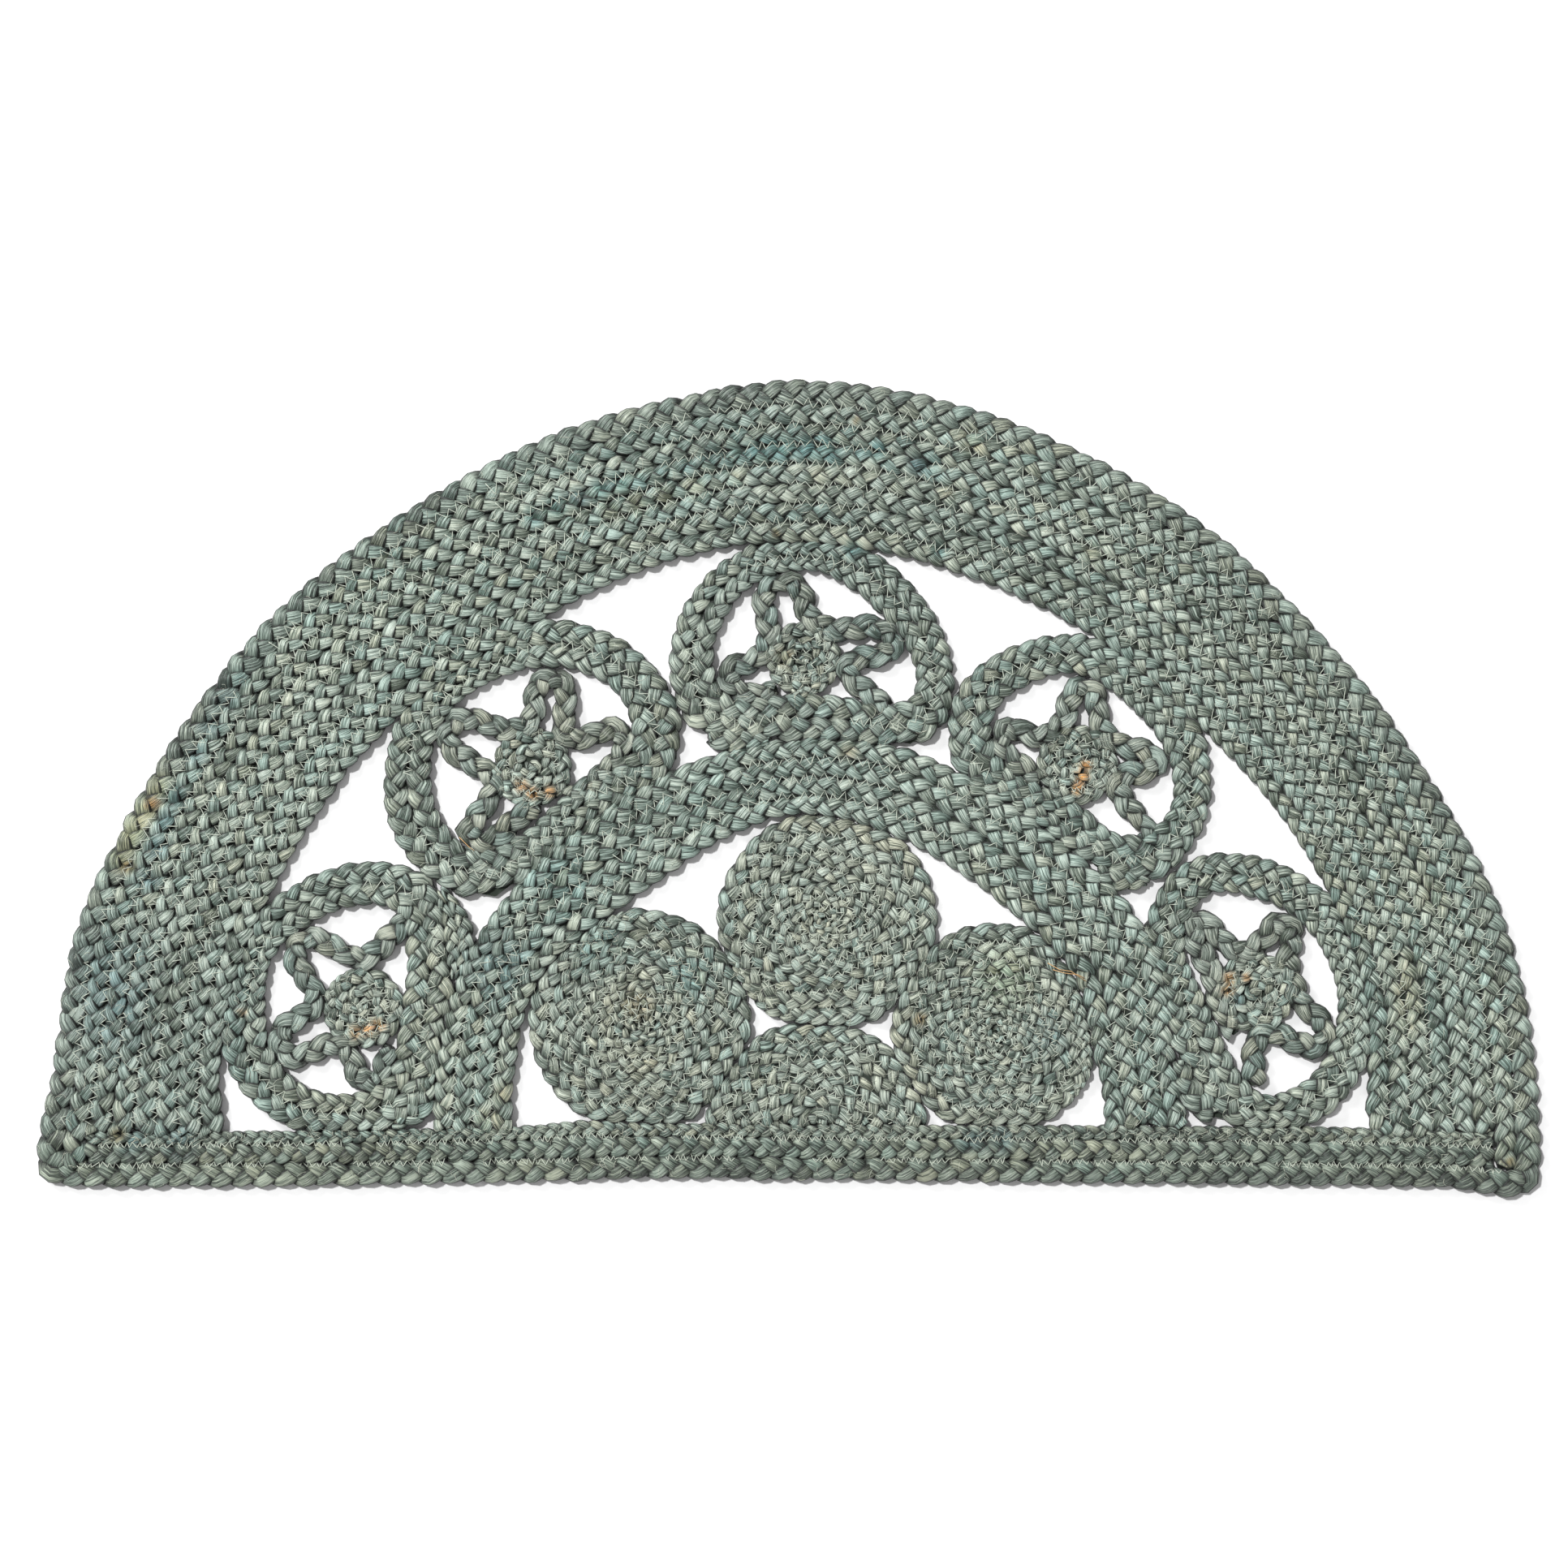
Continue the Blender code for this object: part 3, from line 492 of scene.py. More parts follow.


# Where the yarn took the dye unevenly or shows bare straw or rust, and broad darker and paler
# places, the pale one at the upper left being a painted highlight. Each mark has its place from
# the arch centre and its radius, in millimetres, then what it multiplies the colour by, and how
# strongly. It fades out a little past its radius.
STRAW = (1.14, 1.00, 0.84)
RUST = (1.08, 0.70, 0.42)
FUZZ = (1.26, 1.10, 0.82)
ORANGE = (1.60, 0.66, 0.20)
TEAL = (0.46, 0.74, 0.82)
SLATE = (0.52, 0.68, 0.80)
OLIVE = (1.00, 1.02, 0.78)
SHADE = (0.78, 0.80, 0.82)
PALE = (1.20, 1.20, 1.20)
MARK_FADE = 1.35
MARKS = (
    # A fuzzy straw-coloured patch at the left of the outer arch.
    (-382, 205, 9, FUZZ, 0.8), (-391, 192, 9, FUZZ, 0.9), (-399, 178, 9, FUZZ, 1.0),
    (-405, 164, 9, FUZZ, 0.9), (-386, 196, 4, ORANGE, 0.7), (-401, 158, 4, RUST, 1.0),
    # Bluer rows above and below it, down to the left foot.
    (-343, 259, 8, SLATE, 0.7), (-352, 243, 8, SLATE, 0.6), (-361, 226, 7, SLATE, 0.7),
    (-379, 186, 7, SLATE, 0.8), (-384, 170, 8, SLATE, 0.8), (-334, 270, 6, TEAL, 0.7),
    (-373, 201, 8, SLATE, 0.8), (-389, 151, 8, SLATE, 0.8), (-409, 100, 26, SLATE, 0.5),
    (-409, 66, 26, SLATE, 0.5), (-398, -7, 8, SLATE, 0.9), (-370, -6, 10, SLATE, 0.8),
    (-407, -2, 6, RUST, 0.8),
    # A blue row at the top of the outer arch, and blue spots below it.
    (-94, 389, 7, TEAL, 0.7), (-81, 393, 6, TEAL, 0.6), (-68, 397, 6, TEAL, 0.7),
    (-54, 401, 7, TEAL, 0.6), (-39, 404, 9, TEAL, 0.7), (-24, 406, 9, TEAL, 0.8),
    (-10, 408, 9, TEAL, 0.9), (5, 408, 9, TEAL, 0.9), (18, 407, 9, TEAL, 0.8),
    (47, 406, 6, TEAL, 0.9), (80, 395, 6, TEAL, 0.6), (33, 407, 6, TEAL, 0.5),
    (70, 398, 6, SLATE, 0.9), (32, 348, 5, TEAL, 0.9), (83, 347, 5, TEAL, 0.9),
    # Straw and rust near the top of both arches.
    (11, 390, 7, STRAW, 0.6), (-37, 391, 7, STRAW, 0.5), (88, 381, 7, STRAW, 0.6),
    (103, 410, 8, STRAW, 0.8), (34, 425, 3, RUST, 0.8), (-14, 357, 3, RUST, 0.8),
    (174, 346, 6, STRAW, 0.8), (29, 228, 6, RUST, 0.5),
    # The left disc, the inner arch beside it, and the right disc.
    (-97, 75, 11, RUST, 0.55), (-65, 94, 16, TEAL, 0.55), (-119, 109, 18, TEAL, 0.45),
    (-94, 40, 13, STRAW, 0.4), (-179, 99, 24, SLATE, 0.55), (-143, 148, 20, TEAL, 0.45),
    (72, 67, 5, RUST, 0.9), (150, 58, 13, SLATE, 0.5), (123, 92, 18, OLIVE, 0.6),
    # Orange and rust fibres on the hubs, and straw on the inner arch's left leg.
    (171, 219, 4, ORANGE, 0.9), (169, 212, 4, ORANGE, 1.0), (166, 205, 4, ORANGE, 1.0),
    (257, 92, 4, ORANGE, 0.8), (256, 85, 4, ORANGE, 0.8), (267, 92, 3, ORANGE, 0.7),
    (261, 79, 4, SLATE, 0.9), (-265, 59, 4, ORANGE, 0.6), (-258, 61, 4, ORANGE, 0.8),
    (-251, 64, 4, ORANGE, 0.8), (-332, 71, 3, ORANGE, 0.6), (-178, 24, 7, STRAW, 0.7),
    (-187, 7, 8, STRAW, 0.8), (-166, 207, 4, ORANGE, 0.8), (-159, 202, 4, ORANGE, 1.0),
    (-149, 203, 4, ORANGE, 0.9), (-9, 283, 6, RUST, 0.6),
    # Straw and rust on the right leg, and a blue place on the straight band.
    (378, 139, 8, STRAW, 0.6), (363, 98, 9, STRAW, 0.7), (363, 82, 9, STRAW, 0.8),
    (363, 66, 9, STRAW, 0.7), (424, -18, 4, RUST, 0.9), (104, -5, 8, SLATE, 0.9),
    (120, -5, 8, SLATE, 0.9),
    # Broad darker and paler places; the pale one at the upper left is a painted highlight.
    (0, 400, 130, SHADE, 0.6), (-390, 60, 70, SHADE, 0.5), (-283, 336, 80, PALE, 0.5),
    (380, 92, 90, PALE, 0.4), (270, 320, 60, SHADE, 0.2), (5, 222, 60, SHADE, 0.25),
    # A blue row and a straw-coloured one at the upper left.
    (-158, 367, 7, TEAL, 0.8), (-145, 373, 7, TEAL, 0.9), (-132, 379, 7, SLATE, 1.0),
    (-119, 383, 7, TEAL, 0.9), (-106, 387, 7, TEAL, 0.9), (-112, 370, 7, STRAW, 0.8),
    (-96, 374, 7, STRAW, 0.9), (-80, 379, 7, STRAW, 0.9), (-62, 384, 7, STRAW, 0.8),
)
# Yarn that took the dye a little warmer or cooler than the rest, for each step of its hue.
WARM = np.array((1.05, 0.99, 0.93))
COOL = np.array((0.91, 0.985, 1.00))
MOST_HUE = 1.6
# The straight side is darker than the rest. Its edge braid is
# pale at the left end and gets darker towards the right, until well before the right end.
LOW_SIDE_FROM, LOW_SIDE_OVER, LOW_SIDE_TINT = -0.204, 0.010, (0.81, 0.82, 0.79)
EDGE_FROM, EDGE_OVER = -0.2275, 0.004
EDGE_LEFT, EDGE_RIGHT, EDGE_TEMPO = 1.28, 0.76, 1.4


def dye_and_highlight_at(points, hues):
    """How the dye varies over the mat, with a painted highlight at the upper left, as a colour that
    multiplies the fibre's own.
    """
    warmth = np.clip(hues, -MOST_HUE, MOST_HUE)[:, None]
    colour = np.where(warmth > 0, WARM ** warmth, COOL ** -warmth)
    for x, y, radius, tint, strength in MARKS:
        centre = ARCH_CENTRE + np.array((x, y)) / 1000
        away = np.linalg.norm(points[:, :2] - centre, axis=1) * 1000 / radius
        share = strength * np.clip(MARK_FADE - away, 0, 1)[:, None]
        colour = colour * (1 - share + share * np.array(tint))
    low_side = np.clip((LOW_SIDE_FROM - points[:, 1]) / LOW_SIDE_OVER, 0, 1)[:, None]
    colour = colour * (1 - low_side + low_side * np.array(LOW_SIDE_TINT))
    low = np.clip((EDGE_FROM - points[:, 1]) / EDGE_OVER, 0, 1)[:, None]
    right = (points[:, 0] - cad_low.x) / (cad_high.x - cad_low.x)
    right = np.clip(right * EDGE_TEMPO, 0, 1)[:, None]
    return colour * (1 - low + low * (EDGE_LEFT + (EDGE_RIGHT - EDGE_LEFT) * right))


strand_pieces, all_strands, all_seams = [], [], []


def strand_piece(name, lines, seed, material, slot, nodes, **options):
    """All the strands of one part of the mat, standing for its CAD nodes."""
    rng = np.random.default_rng(seed)
    strands = plait(lines, rng, **options)
    piece = mesh_piece(name, strands.points, strands.quads, strands.ends, material)
    # The dye colour includes the painted highlight at the upper left.
    dye = np.hstack([dye_and_highlight_at(strands.points, strands.hues), np.ones((len(strands.points), 1))])
    # Each point carries its fibre place, its tone, its painted shade for flanks and tucked ends, and
    # its dye colour.
    for label, kind, part, values in (("fibre", "FLOAT_VECTOR", "vector", strands.fibre),
                                      ("tone", "FLOAT", "value", strands.tones),
                                      ("painted_shade", "FLOAT", "value", strands.shades),
                                      ("dye", "FLOAT_COLOR", "color", dye)):
        layer = piece.data.attributes.new(label, kind, "POINT")
        layer.data.foreach_set(part, values.astype(np.float32).ravel())
    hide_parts(*nodes)
    strand_pieces.append(piece)
    all_strands.append(strands)


def with_feet(line, length):
    """The row carried straight down below both of its ends."""
    leg = np.array(((0, -length), (0, -length / 2)))
    points = np.vstack([line.points[0] + leg, line.points, line.points[-1] + leg[::-1]])
    widths = np.concatenate([[line.widths[0]] * 2, line.widths, [line.widths[-1]] * 2])
    return Line(points, widths, False)


arch_jute = dyed_jute("dyed_jute_braid", "#404C42", "#87978C", "#C4D0C3")
arch_angles = np.arange(180, -0.1, -ARCH_STEP)
outer_edges = edges_round("outer_arch", ARCH_CENTRE, np.clip(arch_angles, *OUTER_ENDS))
outer_rows = rows_between(drawn_in(outer_edges, 0.0, -OUTER_BULGE), OUTER_ARCH_ROWS)
outer_rows = [with_feet(line, foot) for line, foot in zip(outer_rows, OUTER_FEET)]
strand_piece("outer_arch_inner_rows", outer_rows[:4], 11, arch_jute, "arch_jute", ["outer_arch"])
strand_piece("outer_arch_outer_rows", outer_rows[4:], 21, arch_jute, "arch_jute", ["outer_arch"])
all_seams += seams_between(outer_edges, OUTER_ARCH_ROWS)


# Inner arch: four rows of the same jute braid, bent round the coiled discs and sewn side by side.
# Its legs stand on the straight band as well.
INNER_ARCH_ROWS = 4
INNER_BULGE = 0.0006
INNER_FOOT = 0.0040
INNER_ENDS = (1.6, 178.8)
inner_edges = edges_round("inner_arch", ARCH_CENTRE, np.clip(arch_angles, *INNER_ENDS))
inner_rows = rows_between(drawn_in(inner_edges, 0.0, -INNER_BULGE), INNER_ARCH_ROWS)
inner_rows = [with_feet(line, INNER_FOOT) for line in inner_rows]
strand_piece("inner_arch_strands", inner_rows, 12, arch_jute, "arch_jute", ["inner_arch"])
all_seams += seams_between(inner_edges, INNER_ARCH_ROWS)


# Straight band: two rows of jute braid along the straight side, sewn to the feet of both arches.
# The lower row is wide and clean, the upper one narrow, flat and rubbed fuzzy.
BELOW_BAND = -0.260
END_GAP = 0.0003
BAND_STEPS = 90
LOWER_SHARE = 0.60
LOWER_PERIOD = 2.4
UPPER_LEAST = 0.008
UPPER_HEIGHT = 0.86
FINE_SEAM = 0.0075
FORWARD = np.array((0, 1))
band_low, band_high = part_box("base_band")
band_x = np.linspace(band_high.x - END_GAP, band_low.x + END_GAP, BAND_STEPS)
band_edges = edges_seen("base_band", [(np.array((x, BELOW_BAND)), FORWARD) for x in band_x])


def part_of(edges, start, end):
    """The strip of a band between two shares of its width."""
    inner, outer = edges[:, 0], edges[:, 1]
    return np.stack([inner + (outer - inner) * start, inner + (outer - inner) * end], axis=1)


lower_strip = part_of(band_edges, 0, LOWER_SHARE)
lower_row = rows_between(lower_strip, 1)
upper_row = rows_between(part_of(band_edges, LOWER_SHARE, 1), 1)
edge_jute = dyed_jute("dyed_jute_edge_braid", "#353E37", "#77847A", "#B4C0B2")
strand_piece("base_band_lower_row", lower_row, 13, edge_jute, "edge_jute", ["base_band"],
             period=LOWER_PERIOD)
strand_piece("base_band_upper_row", upper_row, 23, edge_jute, "edge_jute", ["base_band"],
             least=UPPER_LEAST, height=UPPER_HEIGHT)
all_seams.append(Line(lower_strip[:, 1], np.full(len(lower_strip), FINE_SEAM), False))


# Edge braid: one wider jute braid that runs all round the mat and turns both corners. It is sewn
# to the outermost row of the arch and to the straight band.
ABOVE_BASE = -0.2200
CORNER_GAP = 0.004
CORNER_RADIUS = 0.0006
CORNER_STEPS = 7
EDGE_BULGE_IN = 0.0010
EDGE_BULGE_OUT = 0.0002
RIM_SEAM = 0.013
rim_edges = edges_round("edge_braid", ARCH_CENTRE, np.clip(arch_angles, *OUTER_ENDS))
left_x, right_x = rim_edges[0, 0, 0], rim_edges[-1, 0, 0]
base_x = np.linspace(right_x - CORNER_GAP, left_x + CORNER_GAP, BAND_STEPS)
base_edges = edges_seen("edge_braid", [(np.array((x, ABOVE_BASE)), -FORWARD) for x in base_x])


def corner_edges(pivot, start, end):
    """The edges of the braid as it turns a corner round a point on its inner side."""
    edges = []
    for angle in np.linspace(start, end, CORNER_STEPS):
        walls = level_walls("edge_braid", pivot, turned(angle))
        edges.append((pivot + turned(angle) * CORNER_RADIUS, pivot + turned(angle) * walls[-1]))
    return np.array(edges)


right_pivot = np.array((right_x - CORNER_RADIUS, base_edges[0, 0, 1] + CORNER_RADIUS))
left_pivot = np.array((left_x + CORNER_RADIUS, base_edges[-1, 0, 1] + CORNER_RADIUS))
edge_loop = np.vstack([rim_edges, corner_edges(right_pivot, 358, 272), base_edges,
                       corner_edges(left_pivot, 268, 182)])
edge_rows = rows_between(drawn_in(edge_loop, -EDGE_BULGE_IN, -EDGE_BULGE_OUT), 1, True)
strand_piece("edge_braid_strands", edge_rows, 14, edge_jute, "edge_jute", ["edge_braid"])
all_seams.append(Line(rim_edges[:, 0], np.full(len(rim_edges), RIM_SEAM), False))
all_seams.append(Line(base_edges[:, 0], np.full(len(base_edges), FINE_SEAM), False))


# Wheels: five rings of two rows of jute braid, coiled, sewn, and pressed between the two arches
# and against their neighbours.
WHEEL_CENTRES = ((-0.2697, 0.0799), (-0.1598, 0.2227), (0.0087, 0.2895), (0.1670, 0.2212),
                 (0.2750, 0.0838))
RING_ANGLES = np.arange(360, 0, -5)
RING_ROW = 0.0128
RING_ROW_MOST = 0.0150
RING_PERIOD = 2.5
RING_BULGE_IN = 0.0005
RING_BULGE_OUT = 0.0012
# Where a ring leaves this much more width than its two rows, over some length, it has another
# row, and two of them from the larger width on.
SPARE_LEAST = 0.0045
SPARE_TWICE = 0.0180
SHORTEST_RUN = 5


def of_wheels(part):
    """The names of one part's nodes in the five wheels."""
    return [f"wheel_{part}_{number}" for number in range(1, 6)]


def ring_lines(edges):
    """Two rows all round a ring, and short rows beside them where the ring is wider."""
    inner, outer = edges[:, 0], edges[:, 1]
    whole = np.linalg.norm(outer - inner, axis=1)
    across = unit(outer - inner)
    row = np.minimum(whole / 2, np.maximum(RING_ROW, 2 * RING_ROW_MOST - whole / 2))
    lines = [Line(inner + across * (row * share)[:, None], row, True) for share in (0.5, 1.5)]
    spare = whole - 2 * row
    first = int(np.argmin(spare))
    order = (first + np.arange(len(spare))) % len(spare)
    runs, run = [], []
    for k in order:
        if spare[k] > SPARE_LEAST:
            run.append(k)
            continue
        if len(run) >= SHORTEST_RUN:
            runs.append(run)
        run = []
    for run in runs:
        count = 2 if spare[run].max() > SPARE_TWICE else 1
        for part in range(count):
            width = spare[run] / count
            middle = 2 * row[run] + width * (part + 0.5)
            lines.append(Line(inner[run] + across[run] * middle[:, None], width, False))
    return lines


ring_rows, ring_bands = [], []
for number, centre in enumerate(WHEEL_CENTRES, 1):
    edges = edges_round(f"wheel_ring_{number}", ARCH_CENTRE + centre, RING_ANGLES)
    ring_rows += ring_lines(drawn_in(edges, -RING_BULGE_IN, -RING_BULGE_OUT))
    ring_bands.append(edges)
    all_seams += seams_between(edges, 2, True)
# A short third row fills the corner between the first ring, the inner arch and the straight band:
# its places from the arch centre and its widths, in millimetres.
CORNER_ROW = np.array(((-243, 3.5, 4.5), (-234, 7.0, 9.0), (-227, 12.0, 14.0), (-222.5, 21.0, 10.0),
                       (-220, 35.0, 4.5))) / 1000
ring_rows.append(Line(ARCH_CENTRE + CORNER_ROW[:, :2], CORNER_ROW[:, 2], False))
ring_jute = dyed_jute("dyed_jute_ring_braid", "#3D493F", "#839187", "#BFCBBD")
strand_piece("wheel_ring_strands", ring_rows, 15, ring_jute, "ring_jute", of_wheels("ring"),
             period=RING_PERIOD)


# Spokes: in each wheel one jute braid runs back and forth between the hub and the ring, and is
# sewn to them where it touches. Its route is given from the wheel's centre.
SPOKE_ROUTES = (
    ((0.034, 0.048), (0.025, 0.036), (0.014, 0.027), (0.002, 0.026), (-0.011, 0.032),
     (-0.022, 0.037), (-0.033, 0.034), (-0.032, 0.023), (-0.025, 0.011), (-0.021, 0.001),
     (-0.025, -0.008), (-0.036, -0.016), (-0.045, -0.024), (-0.043, -0.033), (-0.031, -0.036),
     (-0.019, -0.031), (-0.007, -0.029), (0.001, -0.035), (0.004, -0.046), (0.010, -0.054),
     (0.020, -0.052), (0.025, -0.041), (0.026, -0.031)),
    ((0.022, -0.026), (0.034, -0.017), (0.047, -0.008), (0.057, 0.004), (0.056, 0.017),
     (0.044, 0.018), (0.031, 0.012), (0.021, 0.015), (0.020, 0.031), (0.020, 0.044),
     (0.011, 0.050), (0.002, 0.043), (0.002, 0.029), (-0.004, 0.021), (-0.016, 0.019),
     (-0.030, 0.022), (-0.045, 0.025), (-0.054, 0.018), (-0.050, 0.008), (-0.037, -0.002),
     (-0.026, -0.010), (-0.024, -0.020), (-0.032, -0.033), (-0.040, -0.045), (-0.033, -0.053),
     (-0.021, -0.046), (-0.007, -0.036), (0.006, -0.033)),
    ((-0.024, -0.029), (-0.036, -0.029), (-0.048, -0.026), (-0.056, -0.019), (-0.050, -0.012),
     (-0.038, -0.008), (-0.030, 0.001), (-0.029, 0.016), (-0.031, 0.031), (-0.024, 0.039),
     (-0.013, 0.040), (-0.007, 0.032), (-0.003, 0.020), (0.006, 0.013), (0.022, 0.012),
     (0.038, 0.012), (0.050, 0.006), (0.048, -0.003), (0.035, -0.005), (0.021, -0.010),
     (0.024, -0.020), (0.036, -0.030), (0.046, -0.037)),
    ((-0.025, -0.014), (-0.034, -0.005), (-0.044, 0.004), (-0.051, 0.014), (-0.047, 0.022),
     (-0.037, 0.019), (-0.027, 0.016), (-0.018, 0.018), (-0.009, 0.027), (-0.006, 0.039),
     (0.002, 0.047), (0.010, 0.041), (0.012, 0.029), (0.018, 0.017), (0.028, 0.010),
     (0.039, 0.007), (0.049, 0.001), (0.043, -0.007), (0.031, -0.007), (0.024, -0.016),
     (0.030, -0.028), (0.040, -0.039), (0.045, -0.046)),
    ((-0.014, -0.026), (-0.022, -0.021), (-0.027, -0.011), (-0.029, 0.004), (-0.034, 0.020),
     (-0.041, 0.035), (-0.038, 0.047), (-0.031, 0.041), (-0.022, 0.030), (-0.009, 0.026),
     (0.004, 0.034), (0.012, 0.044), (0.020, 0.038), (0.018, 0.024), (0.018, 0.010),
     (0.025, -0.006), (0.036, -0.016), (0.042, -0.026), (0.036, -0.034), (0.022, -0.031),
     (0.007, -0.026), (-0.003, -0.033), (-0.004, -0.046), (-0.002, -0.058)),
)
SPOKE_WIDTH = 0.0122
SPOKE_SPREAD = 1.15
SPOKE_LEAST = 0.0110
SPOKE_MOST_SIDE = 0.0085
OPEN_SIDE = 0.002
# Close to the hub the braid is pulled against it.
HUB_PULL = 0.0030
PULL_FROM, PULL_OVER = 0.040, 0.008


def hub_centre(number):
    """The middle of a wheel's hub."""
    low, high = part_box(f"wheel_hub_{number}")
    return np.array(((low.x + high.x) / 2, (low.y + high.y) / 2))


spoke_rows = []
for number, (centre, route) in enumerate(zip(WHEEL_CENTRES, SPOKE_ROUTES), 1):
    route_widths = np.full(len(route), SPOKE_WIDTH)
    route_run = along(Line(ARCH_CENTRE + centre + np.array(route), route_widths, False))
    middles, spans = [], []
    for place, direction in zip(route_run.places[::2], route_run.ahead[::2]):
        left = np.array((-direction[1], direction[0]))
        sides = []
        for side in (left, -left):
            walls = level_walls(f"wheel_spokes_{number}", place, side)
            near = walls[0] if len(walls) % 2 else OPEN_SIDE
            sides.append(min(near, SPOKE_MOST_SIDE))
        middle = place + left * (sides[0] - sides[1]) / 2
        inward = hub_centre(number) - middle
        away = np.linalg.norm(inward)
        pull = np.clip((PULL_FROM - away) / PULL_OVER, 0, 1)
        middles.append(middle + inward / away * HUB_PULL * pull)
        spans.append(max(SPOKE_LEAST, SPOKE_SPREAD * sum(sides)))
    spoke_rows.append(Line(np.array(middles), np.array(spans), False))
spoke_jute = dyed_jute("dyed_jute_spoke_braid", "#3E493F", "#7F8B82", "#B7C1B4")
strand_piece("wheel_spoke_strands", spoke_rows, 16, spoke_jute, "spoke_jute", of_wheels("spokes"))


# Coils: the four discs and the five hubs are finer jute braids, wound on themselves and sewn. The
# half disc is cut off by the straight band, so its rows are half rings.
DISC_CENTRES = {"disc_left": (-0.0954, 0.0663), "disc_top": (0.0165, 0.1259),
                "disc_right": (0.1176, 0.0615)}
HALF_CENTRE = (0.0097, 0.0001)
# Row widths from the middle out, before they are scaled to the disc's own radius.
DISC_ROWS = (0.0042, 0.0058, 0.0070, 0.0082, 0.0092, 0.0102, 0.0110, 0.0118)
HUB_ROWS = (0.0064, 0.0074, 0.0082)
DISC_GROWTH = 0.0006
HUB_GROWTH = 0.0022
# Bearings at which the coils start, so that no two look the same.
DISC_START, DISC_TURN = 40, 110
HUB_TURN = 65
RIM_STEP = 4
COIL_STEP = 5
# The inner end starts this far before the first turn. A turn keeps its distance and then steps
# out to the next one. The outer end is cut short, narrows and tucks in. The seam is shorter still.
CENTRE_TUCK, CENTRE_LEAST = 200, 0.04
STEP_FROM, STEP_OVER = 0.64, 0.22
END_SHORT, END_OVER, END_NARROW, END_TUCK = 50, 75, 0.40, 0.28
SEAM_SHORT = 110
# The half disc is measured from just inside its straight side, and its rows run on below that.
HALF_ROWS = 6
HALF_RAISE = 0.0060
HALF_DROP = 0.0035


def reach_round(node, centre, angles):
    """Distances from a point to the first wall of a node, at angles round it."""
    return np.array([level_walls(node, centre, turned(angle))[0] for angle in angles])


def coil_line(node, centre, start, rows, growth):
    """A braid wound from the middle of a disc to its rim, stepping out once every turn."""
    reaches = reach_round(node, centre, np.arange(0, 360, RIM_STEP)) + growth
    radius = reaches.max()
    rows = np.array(rows) * radius / sum(rows)
    middles = np.cumsum(rows) - rows / 2
    turns = len(rows)
    angles = np.arange(-CENTRE_TUCK, 360 * turns - END_SHORT, COIL_STEP)
    turn = np.clip(angles // 360, 0, turns - 1).astype(int)
    share = eased(np.clip((angles / 360 - turn - STEP_FROM) / STEP_OVER, 0, 1))
    after = np.minimum(turn + 1, turns - 1)
    middle = middles[turn] + (middles[after] - middles[turn]) * share
    widths = rows[turn] + (rows[after] - rows[turn]) * share
    bearing = start - angles
    rim_angles = np.arange(0, 361, RIM_STEP)
    scale = np.interp(bearing % 360, rim_angles, np.append(reaches, reaches[0])) / radius
    rays = np.stack([np.cos(np.radians(bearing)), np.sin(np.radians(bearing))], axis=1)
    left_over = np.clip((360 * turns - END_SHORT - angles) / END_OVER, 0, 1)
    ending = np.where(turn == turns - 1, left_over, 1)
    middle = middle + widths * END_TUCK * (1 - ending)
    middle = middle * np.clip(1 + angles / CENTRE_TUCK, CENTRE_LEAST, 1)
    narrowed = widths * scale * (END_NARROW + (1 - END_NARROW) * ending)
    line = Line(centre + rays * (middle * scale)[:, None], narrowed, False)
    inside = (angles >= 0) & (angles < 360 * (turns - 1) - SEAM_SHORT)
    rim = centre + rays * ((middle + widths / 2) * scale)[:, None]
    return line, Line(rim[inside], widths[inside], False)


round_middles = {}
disc_rows, coil_seams = [], []
for number, (node, centre) in enumerate(DISC_CENTRES.items()):
    round_middles[node] = ARCH_CENTRE + centre
    line, seam = coil_line(node, round_middles[node], DISC_START + DISC_TURN * number, DISC_ROWS,
                           DISC_GROWTH)
    disc_rows.append(line)
    coil_seams.append(seam)
half_centre = ARCH_CENTRE + HALF_CENTRE + (0, HALF_RAISE)
round_middles["half_disc"] = half_centre
half_angles = np.arange(180, -1, -RIM_STEP)
half_rays = np.array([turned(angle) for angle in half_angles])
half_rim = half_centre + half_rays * reach_round("half_disc", half_centre, half_angles)[:, None]
half_edges = np.stack([np.tile(half_centre, (len(half_rim), 1)), half_rim], axis=1)
drop = np.array((0, -HALF_DROP))
half_edges = np.concatenate([half_edges[:1] + drop, half_edges, half_edges[-1:] + drop])
half_rows = rows_between(half_edges, HALF_ROWS)
coil_jute = dyed_jute("dyed_jute_coil_braid", "#414D43", "#8A968B", "#C8D3C5")
strand_piece("disc_strands", disc_rows + half_rows, 17, coil_jute, "coil_jute",
             list(round_middles), period=3.0, least=0.004, height=0.84, rough=0.9)
all_seams += coil_seams + seams_between(half_edges, HALF_ROWS)[1:]
hub_rows = []
for number, node in enumerate(of_wheels("hub"), 1):
    round_middles[node] = hub_centre(number)
    line, seam = coil_line(node, round_middles[node], HUB_TURN * number, HUB_ROWS, HUB_GROWTH)
    hub_rows.append(line)
    all_seams.append(seam)
strand_piece("wheel_hub_strands", hub_rows, 18, coil_jute, "coil_jute", of_wheels("hub"),
             period=2.8, least=0.004, height=0.88, rough=1.0)


# Packed core: one thin layer under the strands that lies on the floor and fills the gaps between
# them. Its near-black colour is painted shade for the deep gaps, and it shows nowhere else.
CORE_LOW = 0.0008
CORE_HIGH = 0.0040
CORE_INSET = 0.0035
CORE_STEP = 6
LEAST_CORE = 0.001
MAT_LENGTH = 0.9


